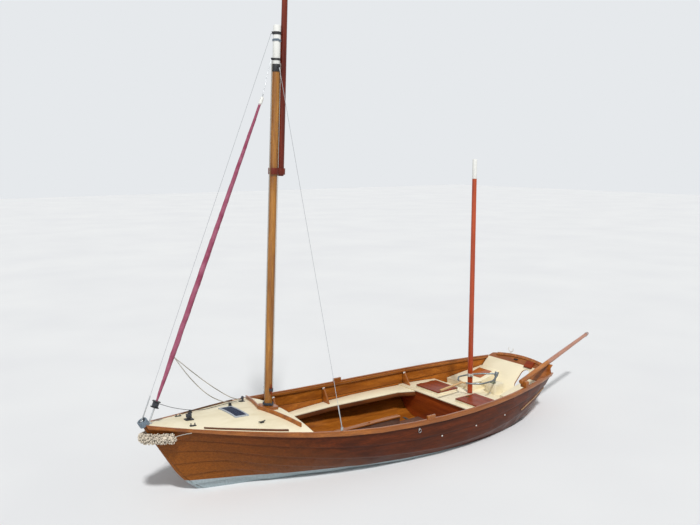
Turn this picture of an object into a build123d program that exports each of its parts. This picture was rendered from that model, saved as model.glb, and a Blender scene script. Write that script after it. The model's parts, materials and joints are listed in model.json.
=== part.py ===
"""A gunter yawl sailing dinghy, clinker planked, with its rig standing and its jib furled.

Millimetres. +X points to the bow, +Y to port and +Z up. The origin lies on the
centreline amidships, at the waterline.
"""
import bisect
import math
import os
from collections import namedtuple

from build123d import *

os.makedirs("parts", exist_ok=True)

# Fits
FIT = 0.3  # between faces that are glued, screwed or seated
SKIN_FIT = 0.6  # between the planking and what is scribed to it
RUNNING = 5.5  # between moving pieces

# Hull form
Station = namedtuple("Station", "x_rail x_keel beam rail depth waterline")
# x at the rail, x at the keel, half-breadth at the rail, rail height, rabbet depth, half-breadth afloat
STATIONS = [
    Station(-2860, -2250, 590, 550, 60, 470),
    Station(-2200, -1900, 768, 530, 110, 645),
    Station(-1400, -1300, 899, 509, 145, 780),
    Station(-500, -500, 942, 508, 165, 790),
    Station(450, 450, 888, 545, 160, 590),
    Station(1250, 1080, 742, 621, 145, 380),
    Station(1900, 1480, 490, 697, 125, 235),
    Station(2400, 1640, 255, 763, 110, 170),
]
STRAKES = 7
BILGE_POWER = 1.5  # how fast the section climbs from the keel
GIRTH_STEPS = 60  # samples that measure a section's girth
PLANK = 9.0
LAP = 20.0
SIDING = 60.0  # width of keel and stem
KEEL_RISE = 15.0  # keel above the rabbet
STEM_RAIL_X = 2860.0
STEM_RAIL_Z = 831.0
STEM_RAKE = 0.6  # forward for each unit of height
STEM_RADIUS = 920.0  # of the forefoot
STEM_RABBET = 25.0  # plank ends behind the stem's face
STEM_DEPTH = 85.0  # lowest plank end on the stem
STEM_HEAD = 40.0  # stem above the rail
STEM_EDGE = 24.0  # width of the stem's front edge
APRON = 75.0
APRON_TOP = 768.0  # of its front edge, under the deck
KEEL_HEEL_Z = -250.0
SKEG_TOP_Z = -120.0
KEEL_TOE_Z = -150.0
TRANSOM = 20.0

# Rails and decks
RUB_RAIL_DEPTH = 45.0
RUB_RAIL_WIDTH = 22.0
INWALE_DEPTH = 34.0
INWALE_WIDTH = 22.0
RAIL_CAP = 12.0
DECK = 9.0
DECK_CROWN = 0.062  # rise for each unit of breadth
FOREDECK_AFT = 1240.0

# Sole, benches and thwart
SOLE_TOP = -70.0
SOLE_BOARD = 12.0
BENCH_TOP = 290.0
BENCH = 18.0
THWART = 12.0
THWART_TOP = BENCH_TOP + FIT + THWART
THWART_FRONT = -1340.0
THWART_AFT = -1930.0
PANEL = 12.0
AFT_SOLE_TOP = 220.0
SIDE_DECK_FRONT = -2140.0
SIDE_DECK_AFT = -2860.0
SIDE_DECK_TOPS = (292.0, 462.0)  # at its front and at its after end

half = SIDING / 2
Level = namedtuple("Level", "x y z")


def stem_x(z, inset=0.0):
    """x of the stem's face at a height, or of a line set in from it."""
    slant = math.hypot(1, STEM_RAKE)
    tangent = STEM_RAKE / slant  # cosine of the turn from the keel to the rake
    centre_z = KEEL_TOE_Z + STEM_RADIUS
    join_z = centre_z - STEM_RADIUS * tangent
    join_x = STEM_RAIL_X - STEM_RAKE * (STEM_RAIL_Z - join_z)
    centre_x = join_x - STEM_RADIUS / slant
    radius = STEM_RADIUS - inset
    if z < centre_z - radius * tangent:
        return centre_x + math.sqrt(radius**2 - (centre_z - z) ** 2)
    return STEM_RAIL_X - STEM_RAKE * (STEM_RAIL_Z - z) - inset * slant


def shared_out(curve):
    """Plank edges spaced evenly along a curve of points, given as a function of 0 to 1."""
    samples = [curve(step / GIRTH_STEPS) for step in range(GIRTH_STEPS + 1)]
    girth = [0.0]
    for low, high in zip(samples, samples[1:]):
        girth.append(girth[-1] + math.dist(low, high))
    levels = []
    for k in range(STRAKES + 1):
        wanted = girth[-1] * k / STRAKES
        step = min(bisect.bisect_left(girth, wanted, 1), GIRTH_STEPS)
        share = (wanted - girth[step - 1]) / (girth[step] - girth[step - 1])
        levels.append(curve((step - 1 + share) / GIRTH_STEPS))
    return levels


def station_levels(station):
    """The plank edges of a station, from the keel to the rail."""
    height = station.rail + station.depth
    afloat = (station.depth / height) ** (1 / BILGE_POWER)
    reach = (station.waterline - half) / (station.beam - half)
    fullness = math.log(1 - reach) / math.log(1 - afloat)

    def section(u):
        z = height * u**BILGE_POWER - station.depth
        x = station.x_keel + (station.x_rail - station.x_keel) * (z + station.depth) / height
        return Level(x, half + (station.beam - half) * (1 - (1 - u) ** fullness), z)

    return shared_out(section)


def stem_levels():
    """The plank ends on the stem."""

    def plank_ends(u):
        z = (STEM_RAIL_Z + STEM_DEPTH) * u - STEM_DEPTH
        return Level(stem_x(z, STEM_RABBET + FIT), half, z)

    return shared_out(plank_ends)


def between(before, low, high, after):
    """Plank edges midway between two stations, on the fair curve through four."""
    levels = []
    for a, b, c, d in zip(before, low, high, after):
        levels.append(Level(*[(9 * (q + r) - (p + s)) / 16 for p, q, r, s in zip(a, b, c, d)]))
    return levels


def beyond(end, next_in, third_in):
    """Plank edges one station past an end, which carry its curve on."""
    return [[3 * (p - q) + r for p, q, r in zip(*points)] for points in zip(end, next_in, third_in)]


def faired(stations):
    """The stations, with one more midway between each two."""
    padded = [beyond(*stations[:3]), *stations, beyond(*stations[:-4:-1])]
    fair = [stations[0]]
    for index in range(len(stations) - 1):
        fair.append(between(*padded[index : index + 4]))
        fair.append(stations[index + 1])
    return fair


NET = faired([station_levels(station) for station in STATIONS] + [stem_levels()])


def span(levels, k):
    """Length of a station line from one plank edge to the next, in the XZ plane."""
    return math.hypot(levels[k + 1].x - levels[k].x, levels[k + 1].z - levels[k].z)


def plank_plane(levels, k, top=None):
    """Section plane across plank k, with y as its first axis and up the station as its second."""
    low = levels[k]
    high = levels[k + 1 if top is None else top]
    normal = Vector(high.z - low.z, 0, low.x - high.x)
    return Plane(origin=(low.x, 0, low.z), x_dir=(0, 1, 0), z_dir=normal)


def plank_outlines(levels):
    """Each plank's section, lowest first, measured from its own lower edge."""
    outlines = []
    rise = 0.0
    knee = high_out = None
    for k in range(STRAKES):
        low = Vector(levels[k].y, rise)
        rise += span(levels, k)
        high = Vector(levels[k + 1].y, rise)
        along = (high - low).normalized()
        out = Vector(along.Y, -along.X)
        if k == 0:
            knee = low + out * PLANK
            corners = [low, high, high + out * PLANK, knee]
        else:
            lap = (high_out - knee).normalized()
            lap_out = Vector(lap.Y, -lap.X)
            seat = high_out + lap_out * 2 * FIT
            edge = seat - lap * LAP
            mitre = (lap_out + out).normalized()
            knee = seat + mitre * PLANK / mitre.dot(out)
            corners = [edge, seat, high, high + out * PLANK, knee, edge + lap_out * PLANK]
        high_out = high + out * PLANK
        outlines.append([(c.X, c.Y - low.Y) for c in corners])
    return outlines


OUTLINES = [plank_outlines(levels) for levels in NET]
TOP_PLANK = STRAKES - 1


def rail_frame(index):
    """The sheer strake's upper corners and directions at a station: inner, outer, up, outward."""
    outline = OUTLINES[index][TOP_PLANK]
    inner = Vector(*outline[2])
    outer = Vector(*outline[3])
    up = (outer - Vector(*outline[4])).normalized()
    return inner, outer, up, Vector(up.Y, -up.X)


def write(part, name):
    """Labels a finished piece and writes its file."""
    part.label = name
    export_step(part, f"parts/{name}.step")


def flat(points):
    """Vectors in a section plane as plain pairs."""
    return [(p.X, p.Y) for p in points]


TRANSOM_FACE = plank_plane(NET[0], 0, STRAKES)
TRANSOM_INNER = TRANSOM_FACE.offset(TRANSOM + FIT)

# Planking
STRAKE_GROUPS = {"bottom_strakes": (0, 1, 2), "side_strakes": (3, 4, 5), "sheer_strakes": (6,)}
for name, planks in STRAKE_GROUPS.items():
    with BuildPart() as strakes:
        for k in planks:
            for levels, outlines in zip(NET, OUTLINES):
                with BuildSketch(plank_plane(levels, k)):
                    with BuildLine():
                        Polyline(*outlines[k], close=True)
                    make_face()
            loft(ruled=True)
        mirror(about=Plane.XZ)
    write(strakes.part, name)

# Rails along the sheer
with BuildPart() as rub_rails:
    for index, levels in enumerate(NET):
        inner, outer, up, out = rail_frame(index)
        base = outer + out * FIT
        with BuildSketch(plank_plane(levels, TOP_PLANK)):
            with BuildLine():
                Polyline(
                    *flat([base, base + out * RUB_RAIL_WIDTH, base + out * RUB_RAIL_WIDTH - up * RUB_RAIL_DEPTH,
                           base - up * RUB_RAIL_DEPTH]),
                    close=True,
                )
            make_face()
    loft(ruled=True)
    mirror(about=Plane.XZ)
write(rub_rails.part, "rub_rails")


def on_section(levels, k, point):
    """A point of plank k's section plane, in the hull's frame."""
    return plank_plane(levels, k).from_local_coords((point[0], point[1], 0))


def scribed(levels, outlines):
    """The hull's inside at a station, just clear of the planks and their laps."""
    port = []
    for k in range(STRAKES):
        low, high = [Vector(*corner) for corner in outlines[k][min(k, 1) : min(k, 1) + 2]]
        along = (high - low).normalized()
        inward = Vector(-along.Y, along.X)
        for corner in (low, high):
            clear = corner + (inward + along) * SKIN_FIT
            port.append(on_section(levels, k, (clear.X, clear.Y)))
    starboard = [Vector(p.X, -p.Y, p.Z) for p in reversed(port)]
    return Wire.make_polygon(port + starboard, close=True)


# Keel, stem and rudder axis
RUDDER_FOOT = Vector(-2170, 0, -60)  # where the rudder's axis leaves the hull
RUDDER_RAKE = 22.0
SKEG_GAP = 65.0
STOCK_R = 15.0
TUBE_R = STOCK_R + RUNNING
TUBE_WALL = 4.5
rudder_axis = Vector(-math.sin(math.radians(RUDDER_RAKE)), 0, math.cos(math.radians(RUDDER_RAKE)))


def rudder_x(z):
    """x of the rudder's axis at a height."""
    return RUDDER_FOOT.X + (z - RUDDER_FOOT.Z) * rudder_axis.X / rudder_axis.Z


slant = math.hypot(1, STEM_RAKE)
forefoot = math.degrees(math.acos(STEM_RAKE / slant))
centre_z = KEEL_TOE_Z + STEM_RADIUS
toe_x = stem_x(KEEL_TOE_Z)
heel_x = rudder_x(KEEL_HEEL_Z) + SKEG_GAP
skeg_top_x = rudder_x(SKEG_TOP_Z) + SKEG_GAP
transom_low = NET[0][0]
keel_top = [(levels[0].x, levels[0].z + KEEL_RISE) for levels in NET[1:]]


def keel_profile(grow):
    """The keel's outline, or one grown all round its top."""
    aft = transom_low.x - KEEL_RISE - grow
    return [(aft, transom_low.z + KEEL_RISE + grow), *[(x, z + grow) for x, z in keel_top],
            (toe_x, KEEL_TOE_Z), (heel_x, KEEL_HEEL_Z), (skeg_top_x, SKEG_TOP_Z),
            (transom_low.x + KEEL_RISE, transom_low.z - KEEL_RISE)]


with BuildPart() as keel_block:
    with BuildSketch(Plane.XZ):
        with BuildLine():
            Polyline(*keel_profile(FIT), close=True)
        make_face()
    extrude(amount=half + FIT, both=True)
inside = Solid.make_loft([scribed(*pair) for pair in list(zip(NET, OUTLINES))[:-2]], ruled=True)
inside = Part(inside.wrapped) - keel_block.part

# Centreplate
PIVOT = Vector(330, 0, -120)
PIN_R = 8.0
PLATE = 8.0
PLATE_REACH = 850.0
PLATE_NOSE = 45.0
PLATE_TOP_Z = 190.0
PLATE_LOW_Z = -205.0
SLOT_END = 12.0  # past the plate's sweep
CASE_POST = 38.0
CASE_TOP = 225.0
CASE_CAP = 15.0
CASE_CAP_WIDTH = 84.0
slot_half = PLATE / 2 + RUNNING
slot_fore = PIVOT.X + PLATE_NOSE + SLOT_END
slot_aft = PIVOT.X - PLATE_REACH - SLOT_END
slot_length = slot_fore - slot_aft
slot_middle = (slot_fore + slot_aft) / 2
case_length = slot_length + 2 * CASE_POST

with BuildPart() as keel:
    with BuildSketch(Plane.XZ):
        with BuildLine():
            Polyline(*keel_profile(0), close=True)
        make_face()
    extrude(amount=half - FIT, both=True)
    split(bisect_by=Plane(origin=(toe_x - FIT, 0, 0), z_dir=(-1, 0, 0)), keep=Keep.TOP)
    with Locations((slot_middle, 0, KEEL_HEEL_Z)):
        Box(slot_length, 2 * slot_half, -2 * KEEL_HEEL_Z, mode=Mode.SUBTRACT)
    with Locations(Plane(origin=RUDDER_FOOT, z_dir=rudder_axis)):
        Cylinder(TUBE_R + TUBE_WALL + FIT, 300, mode=Mode.SUBTRACT)
write(keel.part, "keel")

for name, inset, top, corners in (
    ("stem", STEM_RABBET, STEM_RAIL_Z + STEM_HEAD,
     [(half + PLANK, 0), (STEM_EDGE / 2, -STEM_RABBET), (-STEM_EDGE / 2, -STEM_RABBET), (-half - PLANK, 0)]),
    ("apron", STEM_RABBET + FIT, APRON_TOP,
     [(half - FIT, 0), (half - FIT, APRON), (FIT - half, APRON), (FIT - half, 0)]),
):
    with BuildPart() as stem_piece:
        with BuildLine(Plane.XZ):
            bend = CenterArc((toe_x, centre_z), STEM_RADIUS - inset, -90, forefoot)
            Line(bend @ 1, (stem_x(top, inset), top))
        with BuildSketch(Plane(origin=(toe_x, 0, KEEL_TOE_Z + inset), x_dir=(0, 1, 0), z_dir=(1, 0, 0))):
            with BuildLine():
                Polyline(*corners, close=True)
            make_face()
        sweep()
    write(stem_piece.part, name)

# Transom
CROWN_TOP = 640.0
SHOULDER = (545.0, 592.0)
OUTBOARD_Y = 200.0
OUTBOARD_SLOT = (130.0, 285.0, 505.0)  # width, lowest and highest point


def up_transom(z):
    """Distance up the transom's face from its foot to a height."""
    return (z - transom_low.z) * math.hypot(1, 1)


side = [(l.y - SKIN_FIT, up_transom(l.z) + SKIN_FIT) for l in NET[0]]
with BuildPart() as transom:
    with BuildSketch(TRANSOM_FACE):
        with BuildLine():
            notch = up_transom(transom_low.z + KEEL_RISE + 2 * FIT)
            edge = Polyline((0, notch), (half + FIT, notch), *[(half + FIT, side[0][1]), *side[1:]],
                            (SHOULDER[0], up_transom(SHOULDER[1])))
            mirror(edge, about=Plane.YZ)
            ThreePointArc((SHOULDER[0], up_transom(SHOULDER[1])), (0, up_transom(CROWN_TOP)),
                          (-SHOULDER[0], up_transom(SHOULDER[1])))
        make_face()
        low, high = up_transom(OUTBOARD_SLOT[1]), up_transom(OUTBOARD_SLOT[2])
        with Locations((OUTBOARD_Y, (low + high) / 2)):
            SlotOverall(high - low, OUTBOARD_SLOT[0], rotation=90, mode=Mode.SUBTRACT)
    extrude(amount=TRANSOM)
write(transom.part, "transom")


def rail_at(x):
    """Half-breadth and height of the sheer strake's top inner edge at a place along the hull."""
    for low, high in zip(NET, NET[1:]):
        a, b = low[STRAKES], high[STRAKES]
        if a.x <= x <= b.x:
            share = (x - a.x) / (b.x - a.x)
            return a.y + (b.y - a.y) * share, a.z + (b.z - a.z) * share
    return half, STEM_RAIL_Z


def sheer_loft(section, first=0):
    """Loft of a section along the sheer, from the station numbered first to the stem."""
    with BuildPart() as lofted:
        for index in range(first, len(NET)):
            with BuildSketch(plank_plane(NET[index], TOP_PLANK)):
                with BuildLine():
                    section(index)
                make_face()
        loft(ruled=True)
    return lofted.part


def inwale_section(index):
    inner, outer, up, out = rail_frame(index)
    down = (Vector(*OUTLINES[index][TOP_PLANK][1]) - inner).normalized()
    inward = Vector(down.Y, -down.X)
    face = inner + inward * FIT
    Polyline(*flat([face, face + inward * INWALE_WIDTH, face + inward * INWALE_WIDTH + down * INWALE_DEPTH,
                    face + down * INWALE_DEPTH]), close=True)


def cap_section(index):
    inner, outer, up, out = rail_frame(index)
    base = inner + (up + out) * FIT
    far = base + out * (PLANK + FIT + RUB_RAIL_WIDTH)
    Polyline(*flat([base, far, far + up * RAIL_CAP, base + up * RAIL_CAP]), close=True)


def deck_layer(low, high):
    """A crescent over the bow between two heights above the deck's underside."""

    def section(index):
        inner, outer, up, out = rail_frame(index)
        wide = inner.X - 2 * FIT
        base = inner.Y + FIT
        crown = 2 * DECK_CROWN * inner.X
        ThreePointArc((-wide, base + low), (0, base + crown + low), (wide, base + low))
        Line((wide, base + low), (wide, base + high))
        ThreePointArc((wide, base + high), (0, base + crown + high), (-wide, base + high))
        Line((-wide, base + high), (-wide, base + low))

    return sheer_loft(section, BOW_FIRST)


BOW_FIRST = 9  # first station under the foredeck
INWALE_FORE = 2560.0

# Inwales and rail caps
rail_solids = {}
for name, section in (("inwales", inwale_section), ("rail_caps", cap_section)):
    lofted = sheer_loft(section)
    with BuildPart() as rails:
        add(lofted)
        if name == "inwales":
            split(bisect_by=Plane(origin=(INWALE_FORE, 0, 0), z_dir=(-1, 0, 0)), keep=Keep.TOP)
            split(bisect_by=TRANSOM_INNER, keep=Keep.TOP)
        mirror(about=Plane.XZ)
    rail_solids[name] = rails.part
    write(rails.part, name)

# Spars' sizes
MAST_DECK = Vector(1370, 0, 720)
MAST_HEAD = Vector(1185, 0, 4964)
MAST_STEP_TOP = -85.0
MAST_R = 44.5
MAST_TOP_R = 41.0
MAST_JOIN_Z = 4550.0
MAST_SLOT = 1.5
mast_axis = (MAST_HEAD - MAST_DECK).normalized()


def mast_at(z):
    """Point of the main mast's axis at a height."""
    return MAST_DECK + mast_axis * ((z - MAST_DECK.Z) / mast_axis.Z)


# Foredeck and what stands on it
deck_body = deck_layer(0, DECK)
slot_r = MAST_R + MAST_SLOT
with BuildPart() as foredeck:
    add(deck_body)
    split(bisect_by=Plane(origin=(FOREDECK_AFT, 0, 0), z_dir=(1, 0, 0)), keep=Keep.TOP)
    with BuildSketch(Plane.XY.offset(MAST_DECK.Z - 150)):
        with Locations((MAST_DECK.X, 0)):
            Circle(slot_r)
        with Locations((MAST_DECK.X - 100, 0)):
            Rectangle(200, 2 * slot_r)
    extrude(amount=300, mode=Mode.SUBTRACT)
write(foredeck.part, "foredeck")

BEAM_DEPTH = 46.0
BEAM = 24.0
BEAM_END = 52.0  # from the sheer
beam_layer = deck_layer(-BEAM_DEPTH - FIT, -FIT)
with BuildPart() as deck_beams:
    for x in (1750, 2150):
        reach = rail_at(x)[0] - BEAM_END
        with Locations((x, 0, MAST_DECK.Z)):
            Box(BEAM, 2 * reach, 600)
    reach = rail_at(FOREDECK_AFT)[0] - BEAM_END
    for hand in (-1, 1):
        with Locations((FOREDECK_AFT + BEAM, hand * (reach + slot_r) / 2, MAST_DECK.Z)):
            Box(BEAM, reach - slot_r, 600)
    add(beam_layer, mode=Mode.INTERSECT)
write(deck_beams.part, "deck_beams")

BREAKWATER_HEIGHT = 48.0
BREAKWATER = 18.0
BREAKWATER_APEX = 1505.0
BREAKWATER_END = (1325.0, 610.0)
coaming_layer = deck_layer(DECK + FIT, DECK + FIT + BREAKWATER_HEIGHT)
with BuildPart() as breakwater:
    with BuildSketch(Plane.XY.offset(400)):
        with BuildLine():
            Polyline((BREAKWATER_APEX, 0), BREAKWATER_END, (BREAKWATER_END[0] - BREAKWATER, BREAKWATER_END[1]),
                     (BREAKWATER_APEX - BREAKWATER, 0), (BREAKWATER_END[0] - BREAKWATER, -BREAKWATER_END[1]),
                     (BREAKWATER_END[0], -BREAKWATER_END[1]), close=True)
        make_face()
    extrude(amount=600)
    add(coaming_layer, mode=Mode.INTERSECT)
write(breakwater.part, "breakwater")

PANEL_X = (1700.0, 1870.0)
PANEL_Y = (-250.0, 155.0)
FRAME_HEIGHT = 14.0
FRAME_WIDTH = 20.0
frame_layer = deck_layer(DECK + FIT, DECK + FIT + FRAME_HEIGHT)
panel_layer = deck_layer(DECK + FIT, DECK + FRAME_HEIGHT - 3)
panel_size = (PANEL_X[1] - PANEL_X[0], PANEL_Y[1] - PANEL_Y[0])
panel_middle = (sum(PANEL_X) / 2, sum(PANEL_Y) / 2)
for name, layer, outer_size, inner_size in (
    ("solar_frame", frame_layer, panel_size, [s - 2 * FRAME_WIDTH for s in panel_size]),
    ("solar_panel", panel_layer, [s - 2 * FRAME_WIDTH - 2 * FIT for s in panel_size], None),
):
    with BuildPart() as solar:
        with BuildSketch(Plane.XY.offset(400)):
            with Locations(panel_middle):
                Rectangle(*outer_size)
                if inner_size:
                    Rectangle(*inner_size, mode=Mode.SUBTRACT)
        extrude(amount=600)
        add(layer, mode=Mode.INTERSECT)
    write(solar.part, name)

TOE_RAIL = (12.0, 22.0)  # width and height
TOE_RAIL_X = (1490.0, 2300.0)
TOE_RAIL_INSET = 16.0
rail_points = [TOE_RAIL_X[0], *[l[STRAKES].x for l in NET if TOE_RAIL_X[0] < l[STRAKES].x < TOE_RAIL_X[1]],
               TOE_RAIL_X[1]]
toe_line = [(x, rail_at(x)[0] - TOE_RAIL_INSET) for x in rail_points]
toe_layer = deck_layer(DECK + FIT, DECK + FIT + TOE_RAIL[1])
with BuildPart() as toe_rails:
    with BuildSketch(Plane.XY.offset(400)):
        with BuildLine():
            Polyline(*toe_line, *[(x, y - TOE_RAIL[0]) for x, y in reversed(toe_line)], close=True)
        make_face()
    extrude(amount=600)
    add(toe_layer, mode=Mode.INTERSECT)
    mirror(about=Plane.XZ)
write(toe_rails.part, "toe_rails")


def on_deck(shape, height):
    """Whatever stands in a vertical outline on the foredeck, up to a height above it."""
    with BuildPart() as standing:
        with BuildSketch(Plane.XY.offset(400)):
            add(shape)
        extrude(amount=600)
        add(deck_layer(DECK + FIT, DECK + FIT + height), mode=Mode.INTERSECT)
    return standing.part


PARTNER = (170.0, 210.0, 34.0)
PARTNER_ROUND = 24.0
partner_block = on_deck(Pos(MAST_DECK.X, 0) * RectangleRounded(PARTNER[0], PARTNER[1], PARTNER_ROUND), PARTNER[2])
with BuildPart() as mast_partner:
    add(partner_block)
    with Locations(Plane(origin=MAST_DECK, z_dir=mast_axis)):
        Cylinder(MAST_R + FIT + 0.5, 400, mode=Mode.SUBTRACT)
write(mast_partner.part, "mast_partner")

BOLLARD_X = 2340.0
BOLLARD_HEIGHT = 84.0
BOLLARD_R = 20.0
bollard_base = on_deck(Pos(BOLLARD_X, 0) * RectangleRounded(96, 70, 12), 12)
bollard_post = on_deck(Pos(BOLLARD_X, 0) * Circle(BOLLARD_R), BOLLARD_HEIGHT)
with BuildPart() as bollard:
    add(bollard_base)
    add(bollard_post)
    with Locations(Plane(origin=(BOLLARD_X, 0, bollard_post.bounding_box().max.Z - 22), z_dir=(0, 1, 0))):
        Cylinder(9, 120)
write(bollard.part, "mooring_bollard")

# Sole, floors and mast steps
STEP = (220.0, 130.0)
MIZZEN = Vector(-1860, 0, 3520)
MIZZEN_R = 36.0
MIZZEN_TOP_R = 30.5
MIZZEN_HEAD_Z = 3260.0
MIZZEN_STEP_TOP = -75.0
FLOOR = 30.0
FLOOR_X = (1000.0, 620.0, -100.0, -850.0, -1180.0)
floor_top = SOLE_TOP - SOLE_BOARD - FIT
with BuildPart() as floors:
    for x in FLOOR_X:
        with Locations((x, 0, floor_top)):
            Box(FLOOR, 2000, 400, align=(Align.CENTER, Align.CENTER, Align.MAX))
    with Locations((slot_middle, 0, 0)):
        Box(case_length + 2 * FIT, SIDING + 2 * FIT, 1000, mode=Mode.SUBTRACT)
    with Locations((mast_at(MAST_STEP_TOP).X, 0, MAST_STEP_TOP)):
        Box(*STEP, 200, align=(Align.CENTER, Align.CENTER, Align.MAX))
    with Locations((MIZZEN.X, 0, MIZZEN_STEP_TOP)):
        Box(100, 100, 200, align=(Align.CENTER, Align.CENTER, Align.MAX))
    add(inside, mode=Mode.INTERSECT)
write(floors.part, "floors_and_steps")

SOLE_FORE = 1130.0
SOLE_SPANS = ((36.0, 170.0), (178.0, 330.0), (338.0, 490.0))  # inner and outer edge of each board
with BuildPart() as sole_boards:
    for low, high in SOLE_SPANS:
        with BuildSketch(Plane.XY.offset(SOLE_TOP - SOLE_BOARD)):
            with Locations(((SOLE_FORE + THWART_FRONT + FIT) / 2, (low + high) / 2)):
                Rectangle(SOLE_FORE - THWART_FRONT - FIT, high - low)
        extrude(amount=SOLE_BOARD)
    mirror(about=Plane.XZ)
    add(inside, mode=Mode.INTERSECT)
write(sole_boards.part, "sole_boards")

# Centreplate case and plate
with BuildPart() as case:
    with Locations((slot_middle, 0, CASE_TOP)):
        Box(case_length, SIDING, 600, align=(Align.CENTER, Align.CENTER, Align.MAX))
    add(inside, mode=Mode.INTERSECT)
    with Locations((slot_middle, 0, 0)):
        Box(slot_length, 2 * slot_half, 2000, mode=Mode.SUBTRACT)
    with Locations(Plane(origin=PIVOT, z_dir=(0, 1, 0))):
        Cylinder(PIN_R + FIT, 200, mode=Mode.SUBTRACT)
write(case.part, "centreplate_case")

CAP_HOLE_X = -90.0
with BuildPart() as case_cap:
    with Locations((slot_middle, 0, CASE_TOP + FIT)):
        Box(case_length + 20, CASE_CAP_WIDTH, CASE_CAP, align=(Align.CENTER, Align.CENTER, Align.MIN))
    fillet(case_cap.edges().filter_by(Axis.Z), 18)
    with Locations((CAP_HOLE_X, 0, CASE_TOP)):
        Cylinder(16, 100, mode=Mode.SUBTRACT)
write(case_cap.part, "case_cap")


def on_sweep(z):
    """Point of the plate's aft edge at a height, on its circle about the pivot."""
    return (PIVOT.X - math.sqrt(PLATE_REACH**2 - (z - PIVOT.Z) ** 2), z)


with BuildPart() as centreplate:
    with BuildSketch(Plane.XZ):
        with BuildLine():
            ThreePointArc(on_sweep(PLATE_TOP_Z), on_sweep((PLATE_TOP_Z + PLATE_LOW_Z) / 2), on_sweep(PLATE_LOW_Z))
            Line(on_sweep(PLATE_LOW_Z), (PIVOT.X, PIVOT.Z - PLATE_NOSE))
            ThreePointArc((PIVOT.X, PIVOT.Z - PLATE_NOSE), (PIVOT.X + PLATE_NOSE, PIVOT.Z),
                          (PIVOT.X, PIVOT.Z + PLATE_NOSE))
            Line((PIVOT.X, PIVOT.Z + PLATE_NOSE), on_sweep(PLATE_TOP_Z))
        make_face()
        with Locations((PIVOT.X, PIVOT.Z)):
            Circle(PIN_R + 0.08, mode=Mode.SUBTRACT)
    extrude(amount=PLATE / 2, both=True)
write(centreplate.part, "centreplate")

with BuildPart() as plate_pin:
    with Locations(Plane(origin=PIVOT, z_dir=(0, 1, 0))):
        Cylinder(PIN_R, SIDING)
write(plate_pin.part, "centreplate_pin")

# Side benches
BENCH_EDGE = ((1215.0, 560.0), (800.0, 655.0), (0.0, 700.0), (-1100.0, 650.0), (THWART_FRONT + FIT, 540.0))
FASCIA = (15.0, 50.0)  # thickness and depth
with BuildPart() as benches:
    for far, top, thick in (
        ([(THWART_FRONT + FIT, 1100), (BENCH_EDGE[0][0], 1100)], BENCH_TOP, BENCH),
        ([(x, y + FASCIA[0]) for x, y in reversed(BENCH_EDGE)], BENCH_TOP - BENCH - FIT, FASCIA[1]),
    ):
        with BuildSketch(Plane.XY.offset(top - thick)):
            with BuildLine():
                Polyline(*BENCH_EDGE, *far, close=True)
            make_face()
        extrude(amount=thick)
    mirror(about=Plane.XZ)
    add(inside, mode=Mode.INTERSECT)
write(benches.part, "side_benches")

KNEE = 24.0
KNEE_X = (820.0, -20.0, -1410.0)
KNEE_REACH = (150.0, 34.0)  # inward from the rail, at its foot and its head
KNEE_HEAD_GAP = 6.0
with BuildPart() as knees:
    for x in KNEE_X:
        breadth, height = rail_at(x)
        foot = (THWART_TOP if x < THWART_FRONT else BENCH_TOP) + FIT
        top = height - INWALE_DEPTH - KNEE_HEAD_GAP
        with BuildSketch(Plane.YZ.offset(x - KNEE / 2)):
            with BuildLine():
                Polyline((breadth - KNEE_REACH[0], foot), (breadth + KNEE_REACH[1], foot),
                         (breadth + KNEE_REACH[1], top), (breadth - KNEE_REACH[1], top), close=True)
            make_face()
        extrude(amount=KNEE)
    mirror(about=Plane.XZ)
    add(inside, mode=Mode.INTERSECT)
write(knees.part, "bench_knees")

# Mizzen thwart, its panels and its lockers' lids
THWART_LIP = 18.0
LID_X = (-1420.0, -1788.0)
LID_Y = (170.0, 620.0)
COAMING = 12.0
COAMING_HEIGHT = 30.0
LID = 16.0
LID_LIP = 4.0
LID_CORNER = 8.0
LID_EDGE = 4.0
lid_middle = ((LID_X[0] + LID_X[1]) / 2, (LID_Y[0] + LID_Y[1]) / 2)
lid_size = (LID_X[0] - LID_X[1], LID_Y[1] - LID_Y[0])
hatch_size = [s - 2 * COAMING for s in lid_size]
with BuildPart() as thwart:
    with BuildSketch(Plane.XY.offset(THWART_TOP - THWART)):
        with Locations(((THWART_FRONT + THWART_LIP + THWART_AFT) / 2, 0)):
            Rectangle(THWART_FRONT + THWART_LIP - THWART_AFT, 2000)
        with Locations(lid_middle, (lid_middle[0], -lid_middle[1])):
            Rectangle(*hatch_size, mode=Mode.SUBTRACT)
        with Locations((MIZZEN.X, 0)):
            Circle(MIZZEN_R + FIT, mode=Mode.SUBTRACT)
    extrude(amount=THWART)
    add(inside, mode=Mode.INTERSECT)
write(thwart.part, "mizzen_thwart")

panel_top = THWART_TOP - THWART - FIT
with BuildPart() as bulkheads:
    for x in (THWART_FRONT - PANEL, THWART_AFT):
        with Locations((x, 0, panel_top)):
            Box(PANEL, 2000, 600, align=(Align.MIN, Align.CENTER, Align.MAX))
    add(inside, mode=Mode.INTERSECT)
write(bulkheads.part, "thwart_bulkheads")

with BuildPart() as coamings:
    with BuildSketch(Plane.XY.offset(THWART_TOP + FIT)):
        with Locations(lid_middle):
            Rectangle(*lid_size)
            Rectangle(*hatch_size, mode=Mode.SUBTRACT)
    extrude(amount=COAMING_HEIGHT)
    mirror(about=Plane.XZ)
write(coamings.part, "hatch_coamings")

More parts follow.
